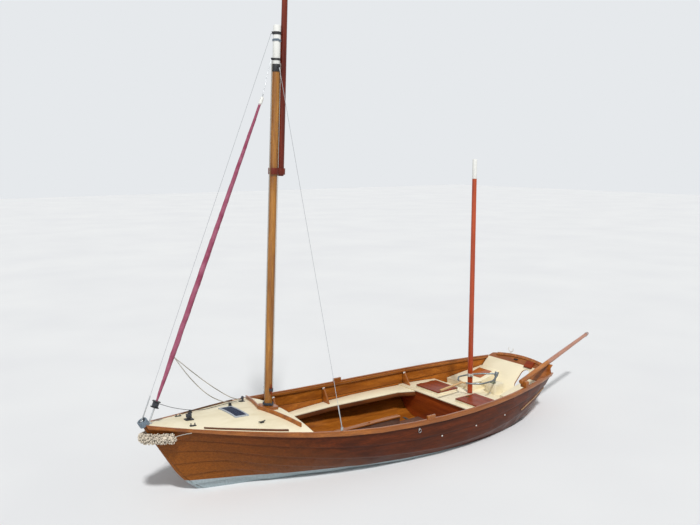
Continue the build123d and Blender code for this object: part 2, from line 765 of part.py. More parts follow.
lid_low = THWART_TOP + COAMING_HEIGHT + 2 * FIT
for name, hand in (("port_hatch_lid", 1), ("starboard_hatch_lid", -1)):
    with BuildPart() as lid:
        with Locations((lid_middle[0], hand * lid_middle[1], lid_low)):
            Box(lid_size[0] + 2 * LID_LIP, lid_size[1] + 2 * LID_LIP, LID,
                align=(Align.CENTER, Align.CENTER, Align.MIN))
        fillet(lid.edges().filter_by(Axis.Z), LID_CORNER)
        fillet(lid.faces().sort_by(Axis.Z)[-1].edges(), LID_EDGE)
    write(lid.part, name)

# Aft sole, side decks and their walls
TUBE_TOP = 372.0
tube_cut = Plane(origin=RUDDER_FOOT, z_dir=rudder_axis)
tube_out = TUBE_R + TUBE_WALL
with BuildPart() as aft_sole:
    with BuildSketch(Plane.XY.offset(AFT_SOLE_TOP - PANEL)):
        with Locations((THWART_AFT - FIT - 400, 0)):
            Rectangle(800, 2000)
    extrude(amount=PANEL)
    add(inside, mode=Mode.INTERSECT)
    split(bisect_by=TRANSOM_INNER, keep=Keep.TOP)
    with Locations(tube_cut):
        Cylinder(tube_out + FIT, 1600, mode=Mode.SUBTRACT)
write(aft_sole.part, "aft_sole")

SIDE_DECK_EDGES = (300.0, -230.0)  # port and starboard
side_deck_under = [top - PANEL for top in SIDE_DECK_TOPS]
for name, lows, highs in (
    ("side_decks", side_deck_under, SIDE_DECK_TOPS),
    ("side_deck_walls", [AFT_SOLE_TOP + FIT] * 2, [under - FIT for under in side_deck_under]),
):
    with BuildPart() as side_decks:
        for edge in SIDE_DECK_EDGES:
            hand = math.copysign(1, edge)
            with BuildSketch(Plane.XZ.offset(-edge)):
                with BuildLine():
                    Polyline((SIDE_DECK_FRONT, lows[0]), (SIDE_DECK_AFT, lows[1]), (SIDE_DECK_AFT, highs[1]),
                             (SIDE_DECK_FRONT, highs[0]), close=True)
                make_face()
            extrude(amount=-hand * 800)
            if name == "side_deck_walls":
                with Locations((SIDE_DECK_FRONT - PANEL - 400, edge + hand * (PANEL + 400), AFT_SOLE_TOP)):
                    Box(800, 800, 800, mode=Mode.SUBTRACT)
        add(inside, mode=Mode.INTERSECT)
        split(bisect_by=TRANSOM_INNER, keep=Keep.TOP)
    write(side_decks.part, name)

# Rudder, its tube and its trunk
TRUNK_X = (-2440.0, -2262.0)
TRUNK_WIDTH = 190.0
TRUNK_TOP = 360.0
TUBE_FOOT = -98.0
TUBE_BUSHES = (0.0, 420.0)  # where the lower bush ends and the upper begins, up the axis
STOCK_PLAY = 0.08
with BuildPart() as trunk:
    with Locations((sum(TRUNK_X) / 2, 0, AFT_SOLE_TOP + FIT)):
        Box(TRUNK_X[1] - TRUNK_X[0], TRUNK_WIDTH, TRUNK_TOP - AFT_SOLE_TOP - FIT,
            align=(Align.CENTER, Align.CENTER, Align.MIN))
    fillet(trunk.edges().filter_by(Axis.Z), 10)
    with Locations(tube_cut):
        Cylinder(tube_out + FIT, 1600, mode=Mode.SUBTRACT)
write(trunk.part, "rudder_trunk")

with BuildPart() as tube:
    with Locations(tube_cut):
        Cylinder(tube_out, 1600)
        Cylinder(STOCK_R + STOCK_PLAY, 1600, mode=Mode.SUBTRACT)
    with Locations(tube_cut.offset(TUBE_BUSHES[0])):
        Cylinder(TUBE_R, TUBE_BUSHES[1] - TUBE_BUSHES[0], align=(Align.CENTER, Align.CENTER, Align.MIN),
                 mode=Mode.SUBTRACT)
    split(bisect_by=Plane.XY.offset(TUBE_FOOT), keep=Keep.TOP)
    split(bisect_by=Plane.XY.offset(TUBE_TOP), keep=Keep.BOTTOM)
write(tube.part, "rudder_tube")

BLADE = 10.0
BLADE_FRONT = 34.0
BLADE_BACK = 215.0
BLADE_TOP = 95.0  # down the axis from where it leaves the hull
BLADE_FOOT = 560.0
BLADE_SHOULDERS = (70.0, 200.0)  # below its top, where its back edge bends
STOCK_TOP_Z = 508.0
BLADE_PLANE = Plane(origin=RUDDER_FOOT, x_dir=(rudder_axis.Z, 0, -rudder_axis.X), z_dir=(0, -1, 0))
stock_top = (STOCK_TOP_Z - RUDDER_FOOT.Z) / rudder_axis.Z
with BuildPart() as rudder:
    with BuildSketch(BLADE_PLANE):
        with BuildLine():
            Polyline((BLADE_FRONT, -BLADE_TOP), (-BLADE_BACK * 0.8, -BLADE_TOP - BLADE_SHOULDERS[0]),
                     (-BLADE_BACK, -BLADE_TOP - BLADE_SHOULDERS[1]),
                     (-BLADE_BACK, -BLADE_FOOT), (BLADE_FRONT, -BLADE_FOOT), close=True)
        make_face()
    extrude(amount=BLADE / 2, both=True)
    with Locations(Plane(origin=RUDDER_FOOT - rudder_axis * (BLADE_TOP + 200), z_dir=rudder_axis)):
        Cylinder(STOCK_R, stock_top + BLADE_TOP + 200, align=(Align.CENTER, Align.CENTER, Align.MIN))
write(rudder.part, "rudder")

TILLER_Z = 480.0
ARM_R = 11.0
LOOP = ((-2380.0, 20.0), (-2250.0, 120.0), (-2080.0, 212.0), (-1860.0, 222.0), (-1745.0, 120.0), (-1700.0, 0.0))
HANDLE_END = Vector(-1300, 0, 434)
HANDLE_R = (13.0, 17.0)  # at the loop and at its end
HUB = (13.0, 62.0)  # wall and height
stock_head = RUDDER_FOOT + rudder_axis * stock_top
with BuildPart() as tiller:
    with BuildLine(Plane.XY.offset(TILLER_Z)):
        FilletPolyline(*LOOP, radius=[60, 120, 90, 60])
    with BuildSketch(Plane(origin=(LOOP[0][0], LOOP[0][1], TILLER_Z),
                           z_dir=(LOOP[1][0] - LOOP[0][0], LOOP[1][1] - LOOP[0][1], 0))):
        Circle(ARM_R)
    sweep()
    mirror(about=Plane.XZ)
    handle = Vector(LOOP[-1][0] - ARM_R, 0, TILLER_Z)
    with BuildSketch(Plane(origin=handle, z_dir=HANDLE_END - handle)):
        Circle(HANDLE_R[0])
    with BuildSketch(Plane(origin=HANDLE_END, z_dir=HANDLE_END - handle)):
        Circle(HANDLE_R[1])
    loft()
    with Locations(Plane(origin=stock_head, z_dir=rudder_axis)):
        Cylinder(STOCK_R + HUB[0], HUB[1], align=(Align.CENTER, Align.CENTER, Align.MAX))
        Cylinder(STOCK_R + FIT, 200, mode=Mode.SUBTRACT)
write(tiller.part, "tiller")


def turned(foot, head, outline):
    """A round piece on the line from foot to head, through pairs of distance along it and radius."""
    along = (head - foot).normalized()
    side = along.cross(Vector(0, 1, 0.2)).normalized()
    with BuildPart() as piece:
        with BuildSketch(Plane(origin=foot, x_dir=side, z_dir=side.cross(along))):
            with BuildLine():
                Polyline((0, outline[0][0]), *[(radius, distance) for distance, radius in outline],
                         (0, outline[-1][0]), close=True)
            make_face()
        revolve(axis=Axis(foot, along))
    return piece.part


def mast_r(z):
    """Radius of the main mast at a height."""
    share = max(0.0, (z - MAST_DECK.Z) / (MAST_HEAD.Z - MAST_DECK.Z))
    return MAST_R + (MAST_TOP_R - MAST_R) * share


# Masts
END_ROUND = 8.0
mast_join = MAST_JOIN_Z
mizzen_join = Vector(MIZZEN.X, 0, MIZZEN_HEAD_Z)
write(turned(mast_at(MAST_STEP_TOP + 6), mast_at(mast_join),
             [(0, MAST_R), ((mast_at(mast_join) - mast_at(MAST_STEP_TOP + 6)).length, mast_r(mast_join))]), "main_mast")
write(turned(Vector(MIZZEN.X, 0, MIZZEN_STEP_TOP + FIT), mizzen_join,
             [(0, MIZZEN_R), (MIZZEN_HEAD_Z - MIZZEN_STEP_TOP - FIT, MIZZEN_TOP_R)]), "mizzen_mast")
heads = []
for foot, head, radius in (
    (mast_at(mast_join + FIT), MAST_HEAD, mast_r(mast_join)),
    (mizzen_join + Vector(0, 0, FIT), MIZZEN, MIZZEN_TOP_R),
):
    length = (head - foot).length
    heads.append(turned(foot, head, [(0, radius), (length - END_ROUND, radius), (length, radius - END_ROUND)]))
with BuildPart() as mast_heads:
    add(heads)
write(mast_heads.part, "mast_heads")

# Bands on the main mast, with an eye on each side that a stay pulls
MastBand = namedtuple("MastBand", "low high thickness eyes")
MAST_BANDS = [
    MastBand(4470, 4549, 5, ((0, 1), (0, -1))),
    MastBand(4590, 4612, 4, ((1, 0),)),
    MastBand(4862, 4892, 4, ((1, 0),)),
]
EYE = (22.0, 24.0, 16.0)  # out from the mast, up it and across
MAST_PLANE = Plane(origin=MAST_DECK, x_dir=(mast_axis.Z, 0, -mast_axis.X), z_dir=mast_axis)
with BuildPart() as bands:
    for band in MAST_BANDS:
        low, high = [(z - MAST_DECK.Z) / mast_axis.Z for z in (band.low, band.high)]
        radius = mast_r(band.low)
        for ahead, across in band.eyes:
            turn = math.degrees(math.atan2(across, ahead))
            with BuildSketch(MAST_PLANE.offset((low + high - EYE[1]) / 2)):
                with Locations(Location((0, 0, 0), (0, 0, turn))):
                    with Locations(((radius + EYE[0]) / 2, 0)):
                        Rectangle(radius + EYE[0], EYE[2])
            extrude(amount=EYE[1])
        with BuildSketch(MAST_PLANE.offset(low)):
            Circle(radius + band.thickness)
        extrude(amount=high - low)
        with BuildSketch(MAST_PLANE.offset(low - 1)):
            Circle(radius + FIT)
        extrude(amount=high - low + 2, mode=Mode.SUBTRACT)
write(bands.part, "mast_bands")


def eye_at(band, clear=0.0):
    """Middle of the outer face of a band's first eye, or a point clear of it."""
    ahead, across = band.eyes[0]
    out = mast_r(band.low) + EYE[0] + clear
    along = (((band.low + band.high) / 2) - MAST_DECK.Z) / mast_axis.Z
    return MAST_PLANE.from_local_coords((ahead * out, across * out, along))


# Gunter yard and the jaws that hold its heel to the mast
YARD_R = 38.0
YARD_TOP_R = 26.0
YARD_LENGTH = 3200.0
YARD_HEEL_Z = 3350.0
JAW_R = MAST_R + 0.6
JAW = 14.0
JAW_HEIGHT = 70.0
JAW_MOUTH = 60.0
yard_offset = MAST_R + RUNNING + YARD_R
yard_low = (YARD_HEEL_Z - MAST_DECK.Z) / mast_axis.Z
yard_foot = MAST_PLANE.from_local_coords((-yard_offset, 0, yard_low))
yard_head = yard_foot + mast_axis * YARD_LENGTH
write(turned(yard_foot, yard_head,
             [(0, YARD_R - END_ROUND), (END_ROUND, YARD_R), (YARD_LENGTH * 0.2, YARD_R),
              (YARD_LENGTH - END_ROUND, YARD_TOP_R), (YARD_LENGTH, YARD_TOP_R - END_ROUND)]), "gunter_yard")

with BuildPart() as jaws:
    with BuildSketch(MAST_PLANE.offset(yard_low + 2 * END_ROUND)):
        Circle(JAW_R + JAW)
        with Locations((-yard_offset / 2, 0)):
            Rectangle(yard_offset, 2 * YARD_R)
        with Locations((-yard_offset, 0)):
            Circle(YARD_R + JAW)
            Circle(YARD_R + FIT, mode=Mode.SUBTRACT)
        Circle(JAW_R, mode=Mode.SUBTRACT)
        with Locations((JAW_R, 0)):
            Rectangle(2 * JAW_R, JAW_MOUTH, mode=Mode.SUBTRACT)
    extrude(amount=JAW_HEIGHT)
write(jaws.part, "yard_jaws")

# Fittings that take the stays
WIRE_R = 2.5
SCREW_R = 7.0
SCREW_LENGTH = 240.0
CHAINPLATE_X = 930.0
CAP_SEAT = FIT + RAIL_CAP / 2  # above the rail, within its cap
CHAINPLATE = (34.0, 8.0, 46.0)
cap_breadth, cap_height = rail_at(CHAINPLATE_X)
cap_middle = cap_breadth + (PLANK + RUB_RAIL_WIDTH) / 2
stem_head = Vector(stem_x(STEM_RAIL_Z + STEM_HEAD, STEM_RABBET), 0, STEM_RAIL_Z + STEM_HEAD)
stem_tilt = Plane(origin=stem_head, z_dir=(STEM_RAKE, 0, 1))
fore_head = eye_at(MAST_BANDS[2], 2 * WIRE_R + FIT)
lug_foot = stem_tilt.from_local_coords((0, 0, 8))
fore_along = (fore_head - lug_foot).normalized()
LUG = 26.0
with BuildPart() as stay_fittings:
    for hand in (-1, 1):
        with Locations((CHAINPLATE_X, hand * cap_middle, cap_height + CAP_SEAT)):
            Box(*CHAINPLATE, align=(Align.CENTER, Align.CENTER, Align.MIN))
    add(rail_solids["rail_caps"], mode=Mode.SUBTRACT)
    with Locations(stem_tilt.offset(FIT)):
        Box(34, 30, 12, align=(Align.CENTER, Align.CENTER, Align.MIN))
    with Locations(Plane(origin=lug_foot, x_dir=(fore_along.Z, 0, -fore_along.X), z_dir=fore_along)):
        Box(16, 8, LUG, align=(Align.CENTER, Align.CENTER, Align.MIN))
write(stay_fittings.part, "stay_fittings")

fore_foot = lug_foot + fore_along * (LUG + FIT)
shroud_head = eye_at(MAST_BANDS[0], 2 * WIRE_R + FIT)
shroud_foot = Vector(CHAINPLATE_X, cap_middle, cap_height + CAP_SEAT + CHAINPLATE[2] + 1.8)
stay_shapes = []
for foot, head in ((shroud_foot, shroud_head), (fore_foot, fore_head)):
    length = (head - foot).length
    stay_shapes.append(turned(foot, head, [(0, SCREW_R), (SCREW_LENGTH, SCREW_R), (SCREW_LENGTH, WIRE_R),
                                           (length - 30, WIRE_R), (length - 30, 2 * WIRE_R), (length, 2 * WIRE_R)]))
with BuildPart() as stays:
    add(stay_shapes[0])
    mirror(about=Plane.XZ)
    add(stay_shapes[1])
write(stays.part, "stays")

# Furling gear and the rolled jib
LUFF_FOOT = Vector(2783, 0, 838)
LUFF_HEAD = Vector(1381, 0, 4195)
DRUM_R = 45.0
DRUM = 70.0
DRUM_UP = 170.0  # up the luff
SWIVEL_GAP = 0.8
luff = (LUFF_HEAD - LUFF_FOOT).normalized()
luff_length = (LUFF_HEAD - LUFF_FOOT).length
drum_foot = LUFF_FOOT + luff * DRUM_UP
post = turned(LUFF_FOOT, drum_foot, [(0, 9), (DRUM_UP - SWIVEL_GAP, 9)])
furler_plate = on_deck(Pos(LUFF_FOOT.X, 0) * RectangleRounded(60, 40, 6), 8)
with BuildPart() as furler_base:
    add(furler_plate)
    add(post)
write(furler_base.part, "furler_base")

write(turned(drum_foot, LUFF_HEAD, [(0, DRUM_R), (8, DRUM_R), (8, 28), (DRUM - 8, 28), (DRUM - 8, DRUM_R),
                                    (DRUM, DRUM_R)]), "furling_drum")
roll_foot = drum_foot + luff * (DRUM + FIT)
roll = luff_length - DRUM_UP - DRUM - FIT
write(turned(roll_foot, LUFF_HEAD, [(0, 10), (90, 16), (roll * 0.15, 30), (roll * 0.4, 32), (roll * 0.75, 24),
                                    (roll - 60, 15), (roll, 8)]), "furled_jib")
halyard_foot = LUFF_HEAD + luff * SWIVEL_GAP
halyard_head = eye_at(MAST_BANDS[1], 3 + FIT)
halyard = (halyard_head - halyard_foot).length
write(turned(halyard_foot, halyard_head, [(0, 6), (40, 6), (40, 3), (halyard, 3)]), "jib_halyard")

# Bumkin, with a chock on the rail and a saddle on the transom
BUMKIN_R = 32.0
BUMKIN_HEEL = Vector(-2050, 745, 600)
BUMKIN_END = Vector(-4440, 0, 790)
BUMKIN_END_R = 24.0
bumkin_along = (BUMKIN_END - BUMKIN_HEEL).normalized()
bumkin_length = (BUMKIN_END - BUMKIN_HEEL).length
write(turned(BUMKIN_HEEL, BUMKIN_END,
             [(0, BUMKIN_R - END_ROUND), (END_ROUND, BUMKIN_R), (bumkin_length * 0.4, BUMKIN_R),
              (bumkin_length - END_ROUND, BUMKIN_END_R), (bumkin_length, BUMKIN_END_R - END_ROUND)]), "bumkin")
bumkin_bore = Plane(origin=BUMKIN_HEEL, z_dir=bumkin_along)
heel_breadth, heel_height = rail_at(BUMKIN_HEEL.X)


def crown_at(y):
    """Distance up the transom's face to its crown, at a place across it."""
    rise = up_transom(CROWN_TOP) - up_transom(SHOULDER[1])
    radius = (SHOULDER[0] ** 2 + rise**2) / (2 * rise)
    return up_transom(CROWN_TOP) - radius + math.sqrt(radius**2 - y**2)


SADDLE_Y = 492.0
SADDLE = (96.0, 80.0)  # across the transom and up it
SADDLE_RISE = 30.0
HEEL_CHOCK = (60.0, 92.0, 80.0)
HEEL_CHOCK_SHIFT = (-45.0, -22.0)  # aft of the bumkin's heel and inboard of the rail
with BuildPart() as chocks:
    with BuildSketch(TRANSOM_FACE):
        with Locations((SADDLE_Y, crown_at(SADDLE_Y) + SADDLE_RISE)):
            Rectangle(*SADDLE)
    extrude(amount=TRANSOM)
    with BuildSketch(Plane.XY.offset(CROWN_TOP)):
        Rectangle(8000, 4000)
    extrude(amount=400, mode=Mode.SUBTRACT)
    with Locations((BUMKIN_HEEL.X + HEEL_CHOCK_SHIFT[0], heel_breadth + HEEL_CHOCK_SHIFT[1],
                    heel_height + CAP_SEAT)):
        Box(*HEEL_CHOCK, align=(Align.CENTER, Align.CENTER, Align.MIN))
    with Locations(bumkin_bore):
        Cylinder(BUMKIN_R + FIT, 4000, mode=Mode.SUBTRACT)
    add(transom.part, mode=Mode.SUBTRACT)
    add(rail_solids["rail_caps"], mode=Mode.SUBTRACT)
write(chocks.part, "bumkin_chocks")

# Transom's inside
TRIM = (450.0, 45.0, 12.0)  # half-breadth, depth and thickness
with BuildPart() as transom_trim:
    with BuildSketch(TRANSOM_INNER):
        with BuildLine():
            ends = [(-TRIM[0], crown_at(TRIM[0])), (0, crown_at(0)), (TRIM[0], crown_at(TRIM[0]))]
            ThreePointArc(*ends)
            ThreePointArc(*[(y, s - TRIM[1]) for y, s in ends])
            Line(ends[0], (ends[0][0], ends[0][1] - TRIM[1]))
            Line(ends[2], (ends[2][0], ends[2][1] - TRIM[1]))
        make_face()
    extrude(amount=TRIM[2])
write(transom_trim.part, "transom_trim")

OUTBOARD_PAD = (140.0, 105.0, 25.0)
PAD_DROP = 8.0  # below the trim
PAD_CORNER = 8.0
with BuildPart() as outboard_pad:
    with BuildSketch(TRANSOM_INNER):
        with Locations((OUTBOARD_Y, crown_at(OUTBOARD_Y) - TRIM[1] - PAD_DROP - OUTBOARD_PAD[1] / 2)):
            RectangleRounded(OUTBOARD_PAD[0], OUTBOARD_PAD[1], PAD_CORNER)
    extrude(amount=OUTBOARD_PAD[2])
write(outboard_pad.part, "outboard_pad")

SCULL_Y = -230.0
scull = TRANSOM_FACE.from_local_coords((SCULL_Y, crown_at(SCULL_Y), TRANSOM / 2))
HORN = (42.0, 40.0, 95.0)  # half-span, foot and top above the transom
with BuildPart() as rowlock:
    with BuildLine(Plane(origin=scull, x_dir=(0, 1, 0), z_dir=(1, 0, 0))):
        horns = FilletPolyline((-HORN[0], HORN[2]), (-HORN[0], HORN[1]), (HORN[0], HORN[1]), (HORN[0], HORN[2]),
                               radius=30)
    with BuildSketch(Plane(origin=horns @ 0, z_dir=horns % 0)):
        Circle(6)
    sweep()
    with Locations(scull):
        Cylinder(7, HORN[1], align=(Align.CENTER, Align.CENTER, Align.MIN))
    with BuildSketch(TRANSOM_FACE):
        with Locations((SCULL_Y, crown_at(SCULL_Y) + 3)):
            Rectangle(60, 16)
    extrude(amount=TRANSOM)
    add(transom.part, mode=Mode.SUBTRACT)
write(rowlock.part, "sculling_rowlock")

# Rowlock chocks on the rails
ROWLOCK_X = -270.0
ROWLOCK_BORE = 6.75
ROWLOCK_DEPTH = 33.0
ROWLOCK_CHOCK = (120.0, 26.0, 46.0)
rowlock_breadth, rowlock_height = rail_at(ROWLOCK_X)
rowlock_y = rowlock_breadth + (PLANK + RUB_RAIL_WIDTH) / 2
rowlock_base = rowlock_height + CAP_SEAT
with BuildPart() as rowlock_chocks:
    for hand in (-1, 1):
        with Locations((ROWLOCK_X, hand * rowlock_y, rowlock_base)):
            Box(*ROWLOCK_CHOCK, align=(Align.CENTER, Align.CENTER, Align.MIN))
        with Locations((ROWLOCK_X, hand * rowlock_y, rowlock_base + ROWLOCK_CHOCK[2])):
            Cylinder(ROWLOCK_BORE, ROWLOCK_DEPTH, align=(Align.CENTER, Align.CENTER, Align.MAX),
                     mode=Mode.SUBTRACT)
    add(rail_solids["rail_caps"], mode=Mode.SUBTRACT)
write(rowlock_chocks.part, "rowlock_chocks")

# Fairleads and the rope fender round the stem
FAIRLEAD = (2380.0, 186.0)
FAIRLEAD_BASE = (72.0, 24.0, 10.0)
FAIRLEAD_CORNER = 6.0
HORN_SPAN = 22.0
FAIRLEAD_HORN = (6.0, 40.0)  # radius and height
horn_places = [Pos(FAIRLEAD[0] + ahead, hand * FAIRLEAD[1]) for hand in (-1, 1)
               for ahead in (-HORN_SPAN, HORN_SPAN)]
fairlead_horns = [on_deck(place * Circle(FAIRLEAD_HORN[0]), FAIRLEAD_HORN[1]) for place in horn_places]
with BuildPart() as fairleads:
    with BuildSketch(Plane.XY.offset(400)):
        with Locations(FAIRLEAD, (FAIRLEAD[0], -FAIRLEAD[1])):
            RectangleRounded(*FAIRLEAD_BASE[:2], FAIRLEAD_CORNER)
    extrude(amount=600)
    add(deck_layer(DECK + FIT, DECK + FIT + FAIRLEAD_BASE[2]), mode=Mode.INTERSECT)
    add(fairlead_horns)
write(fairleads.part, "fairleads")

FENDER_Z = 690.0
FENDER_R = 42.0
FENDER_END = (2590.0, 197.0)
FENDER_APEX = 2905.0
FENDER_BEND = 80.0
with BuildPart() as fender:
    with BuildLine(Plane.XY.offset(FENDER_Z)):
        around = FilletPolyline(FENDER_END, (FENDER_APEX, 0), (FENDER_END[0], -FENDER_END[1]), radius=FENDER_BEND)
    with BuildSketch(Plane(origin=around @ 0, z_dir=around % 0)):
        Circle(FENDER_R)
    sweep()
write(fender.part, "bow_fender")
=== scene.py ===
"""Looks of a gunter yawl sailing dinghy: varnished clinker hull, cream decks, furled jib and standing rig."""

import json
import logging
import math
from dataclasses import dataclass, field
from enum import Enum

import bmesh
import bpy
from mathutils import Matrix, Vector
from mathutils.bvhtree import BVHTree


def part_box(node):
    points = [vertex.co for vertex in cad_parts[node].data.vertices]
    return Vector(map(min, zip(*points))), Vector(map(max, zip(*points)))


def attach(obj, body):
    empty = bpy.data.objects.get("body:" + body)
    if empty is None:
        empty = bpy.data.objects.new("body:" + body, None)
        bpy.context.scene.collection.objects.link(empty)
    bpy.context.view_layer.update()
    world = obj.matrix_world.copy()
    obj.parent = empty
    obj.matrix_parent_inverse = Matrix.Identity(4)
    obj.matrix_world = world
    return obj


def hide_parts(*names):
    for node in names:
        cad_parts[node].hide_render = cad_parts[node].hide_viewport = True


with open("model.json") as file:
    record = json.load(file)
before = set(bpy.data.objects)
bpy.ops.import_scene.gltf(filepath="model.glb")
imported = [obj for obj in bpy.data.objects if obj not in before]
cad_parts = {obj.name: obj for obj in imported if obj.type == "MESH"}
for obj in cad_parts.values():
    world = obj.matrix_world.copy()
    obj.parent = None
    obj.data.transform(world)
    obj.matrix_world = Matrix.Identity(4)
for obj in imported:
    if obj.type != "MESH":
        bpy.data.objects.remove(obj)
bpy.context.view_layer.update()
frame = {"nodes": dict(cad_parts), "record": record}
log = logging.getLogger("dinghy")

Colour = tuple[float, float, float, float]
Place = tuple[float, float, float]
Flat = tuple[float, float]
Tree = bpy.types.NodeTree
Node = bpy.types.Node
Socket = bpy.types.NodeSocket
Mesh = bpy.types.Mesh
Inputs = dict[str | int, object]
Points = list[Vector]

FORWARD = Vector((1, 0, 0))
PORT = Vector((0, 1, 0))
UP = Vector((0, 0, 1))


def srgb(hex_value: str) -> Colour:
    """Turns an sRGB hex colour into a linear one.

    Args:
        hex_value: six hex digits, with no hash sign.

    Returns:
        Linear red, green, blue and an alpha of one.
    """
    channels = [int(hex_value[i : i + 2], 16) / 255 for i in (0, 2, 4)]
    linear = [c / 12.92 if c <= 0.04045 else ((c + 0.055) / 1.055) ** 2.4 for c in channels]
    return (linear[0], linear[1], linear[2], 1.0)


def add_node(
    tree: Tree, kind: str, settings: dict[str, object] | None = None, inputs: Inputs | None = None
) -> Node:
    """Adds one node with its settings and its inputs.

    Args:
        tree: the node tree.
        kind: the node's type name.
        settings: the node's own properties.
        inputs: for each input, a value or the socket that feeds it.

    Returns:
        The new node.
    """
    made = tree.nodes.new(kind)
    for key, value in (settings or {}).items():
        setattr(made, key, value)
    for key, value in (inputs or {}).items():
        if isinstance(value, Socket):
            tree.links.new(value, made.inputs[key])
        else:
            made.inputs[key].default_value = value
    return made


class Grain(Enum):
    """The way that a piece's grain or brush marks run, as a turn that lays it along the first axis."""

    FORE_AFT = (0.0, 0.0, 0.0)
    ACROSS = (0.0, 0.0, math.pi / 2)
    UPRIGHT = (0.0, math.pi / 2, 0.0)
    BUMKIN = (0.0, 0.08, -0.30)


def streaks(tree: Tree, coords: Socket, grain: Grain, length_mm: float, width_mm: float) -> Socket:
    """A noise drawn out along the grain.

    Args:
        tree: the node tree.
        coords: coordinates in metres.
        grain: the way the grain runs.
        length_mm: length of a streak.
        width_mm: width of a streak.

    Returns:
        The noise's value.
    """
    turned = add_node(tree, "ShaderNodeMapping", None, {"Vector": coords, "Rotation": grain.value})
    scale = (1000 / length_mm, 1000 / width_mm, 1000 / width_mm)
    drawn = add_node(tree, "ShaderNodeMapping", None, {"Vector": turned.outputs[0], "Scale": scale})
    noise = {"Vector": drawn.outputs[0], "Scale": 1.0, "Detail": 4.0, "Roughness": 0.6, "Distortion": 0.4}
    return add_node(tree, "ShaderNodeTexNoise", None, noise).outputs[0]


def laid_over(
    tree: Tree, pattern: Socket, start: float, full: float, share: float,
    under: Colour | Socket, over: Colour | Socket,
) -> Socket:
    """Lays one colour over another where a pattern is high.

    Args:
        tree: the node tree.
        pattern: the pattern's value.
        start: value of the pattern at which the upper colour starts.
        full: value at which it is as strong as it gets.
        share: how strong that is, up to one.
        under: the lower colour.
        over: the upper colour.

    Returns:
        The laid colour.
    """
    ranged = {"Value": pattern, "From Min": start, "From Max": full, "To Min": 0.0, "To Max": share}
    strength = add_node(tree, "ShaderNodeMapRange", None, ranged)
    mixed = {0: strength.outputs[0], 6: under, 7: over}
    return add_node(tree, "ShaderNodeMix", {"data_type": "RGBA"}, mixed).outputs[2]


@dataclass(frozen=True)
class Finish:
    """A surface finish, made into a material once."""

    name: str

    def material(self) -> bpy.types.Material:
        """The finish's material, made at its first use.

        Returns:
            The material, the same one each time.
        """
        known = bpy.data.materials.get(self.name)
        if known:
            return known
        made = bpy.data.materials.new(self.name)
        made.use_nodes = True
        made.node_tree.nodes.clear()
        shader = add_node(made.node_tree, "ShaderNodeBsdfPrincipled", None, self.surface(made.node_tree))
        add_node(made.node_tree, "ShaderNodeOutputMaterial", None, {"Surface": shader.outputs[0]})
        return made

    def surface(self, tree: Tree) -> Inputs:
        """What goes into the shader; each finish makes this in its own way."""
        raise NotImplementedError


@dataclass(frozen=True)
class VarnishedWood(Finish):
    """Wood under several coats of varnish.

    The eye sees streaks a few millimetres wide that run with the grain, slow changes of tone
    over a hand's breadth, and a clear skin that mirrors the sky in a slightly wavy way.
    """

    light: str = "B5742A"
    dark: str = "7A4A12"
    pore: str = "3A1C08"
    weathered: str = "9A8F82"
    grain: Grain = Grain.FORE_AFT
    streak_mm: float = 7.0
    roughness: float = 0.34
    coat: float = 0.25
    specular: float = 0.4
    wear: float = 0.0

    def wood(self, tree: Tree, coords: Socket, light: str, dark: str) -> Socket:
        """The wood's own colour.

        Args:
            tree: the node tree.
            coords: coordinates in metres.
            light: the lighter wood.
            dark: the darker wood.

        Returns:
            The colour.
        """
        figure = streaks(tree, coords, self.grain, length_mm=700, width_mm=60)
        lines = streaks(tree, coords, self.grain, length_mm=160, width_mm=self.streak_mm)
        pores = streaks(tree, coords, self.grain, length_mm=24, width_mm=1.6)
        base = laid_over(tree, figure, 0.3, 0.7, 1.0, srgb(light), srgb(dark))
        lined = laid_over(tree, lines, 0.42, 0.72, 0.75, base, srgb(dark))
        pored = laid_over(tree, pores, 0.56, 0.72, 0.5, lined, srgb(self.pore))
        if not self.wear:
            return pored
        patches = streaks(tree, coords, self.grain, length_mm=260, width_mm=110)
        return laid_over(tree, patches, 0.35, 0.75, self.wear, pored, srgb(self.weathered))

    def varnish(self, tree: Tree, coords: Socket) -> Inputs:
        """Gloss that dulls in patches, and the ripple of the varnish over the grain.

        Args:
            tree: the node tree.
            coords: coordinates in metres.

        Returns:
            The shader's inputs for the varnish.
        """
        dull = streaks(tree, coords, self.grain, length_mm=260, width_mm=120)
        low, high = self.roughness - 0.06, self.roughness + 0.1
        span = {"Value": dull, "From Min": 0.3, "From Max": 0.7, "To Min": low, "To Max": high}
        gloss = add_node(tree, "ShaderNodeMapRange", None, span)
        waves = streaks(tree, coords, self.grain, length_mm=90, width_mm=5)
        ripple = {"Height": waves, "Strength": 0.25, "Distance": 0.0008}
        bump = add_node(tree, "ShaderNodeBump", None, ripple)
        shine = {"Roughness": gloss.outputs[0], "Specular IOR Level": self.specular}
        return {**shine, "Coat Weight": self.coat, "Coat Roughness": 0.15, "Normal": bump.outputs[0]}

    def surface(self, tree: Tree) -> Inputs:
        """Wood under its varnish."""
        coords = add_node(tree, "ShaderNodeTexCoord").outputs["Object"]
        return {"Base Color": self.wood(tree, coords, self.light, self.dark), **self.varnish(tree, coords)}


@dataclass(frozen=True)
class VarnishedSpar(VarnishedWood):
    """A mast or yard: close, straight grain that runs up it."""

    grain: Grain = Grain.UPRIGHT
    streak_mm: float = 4.0


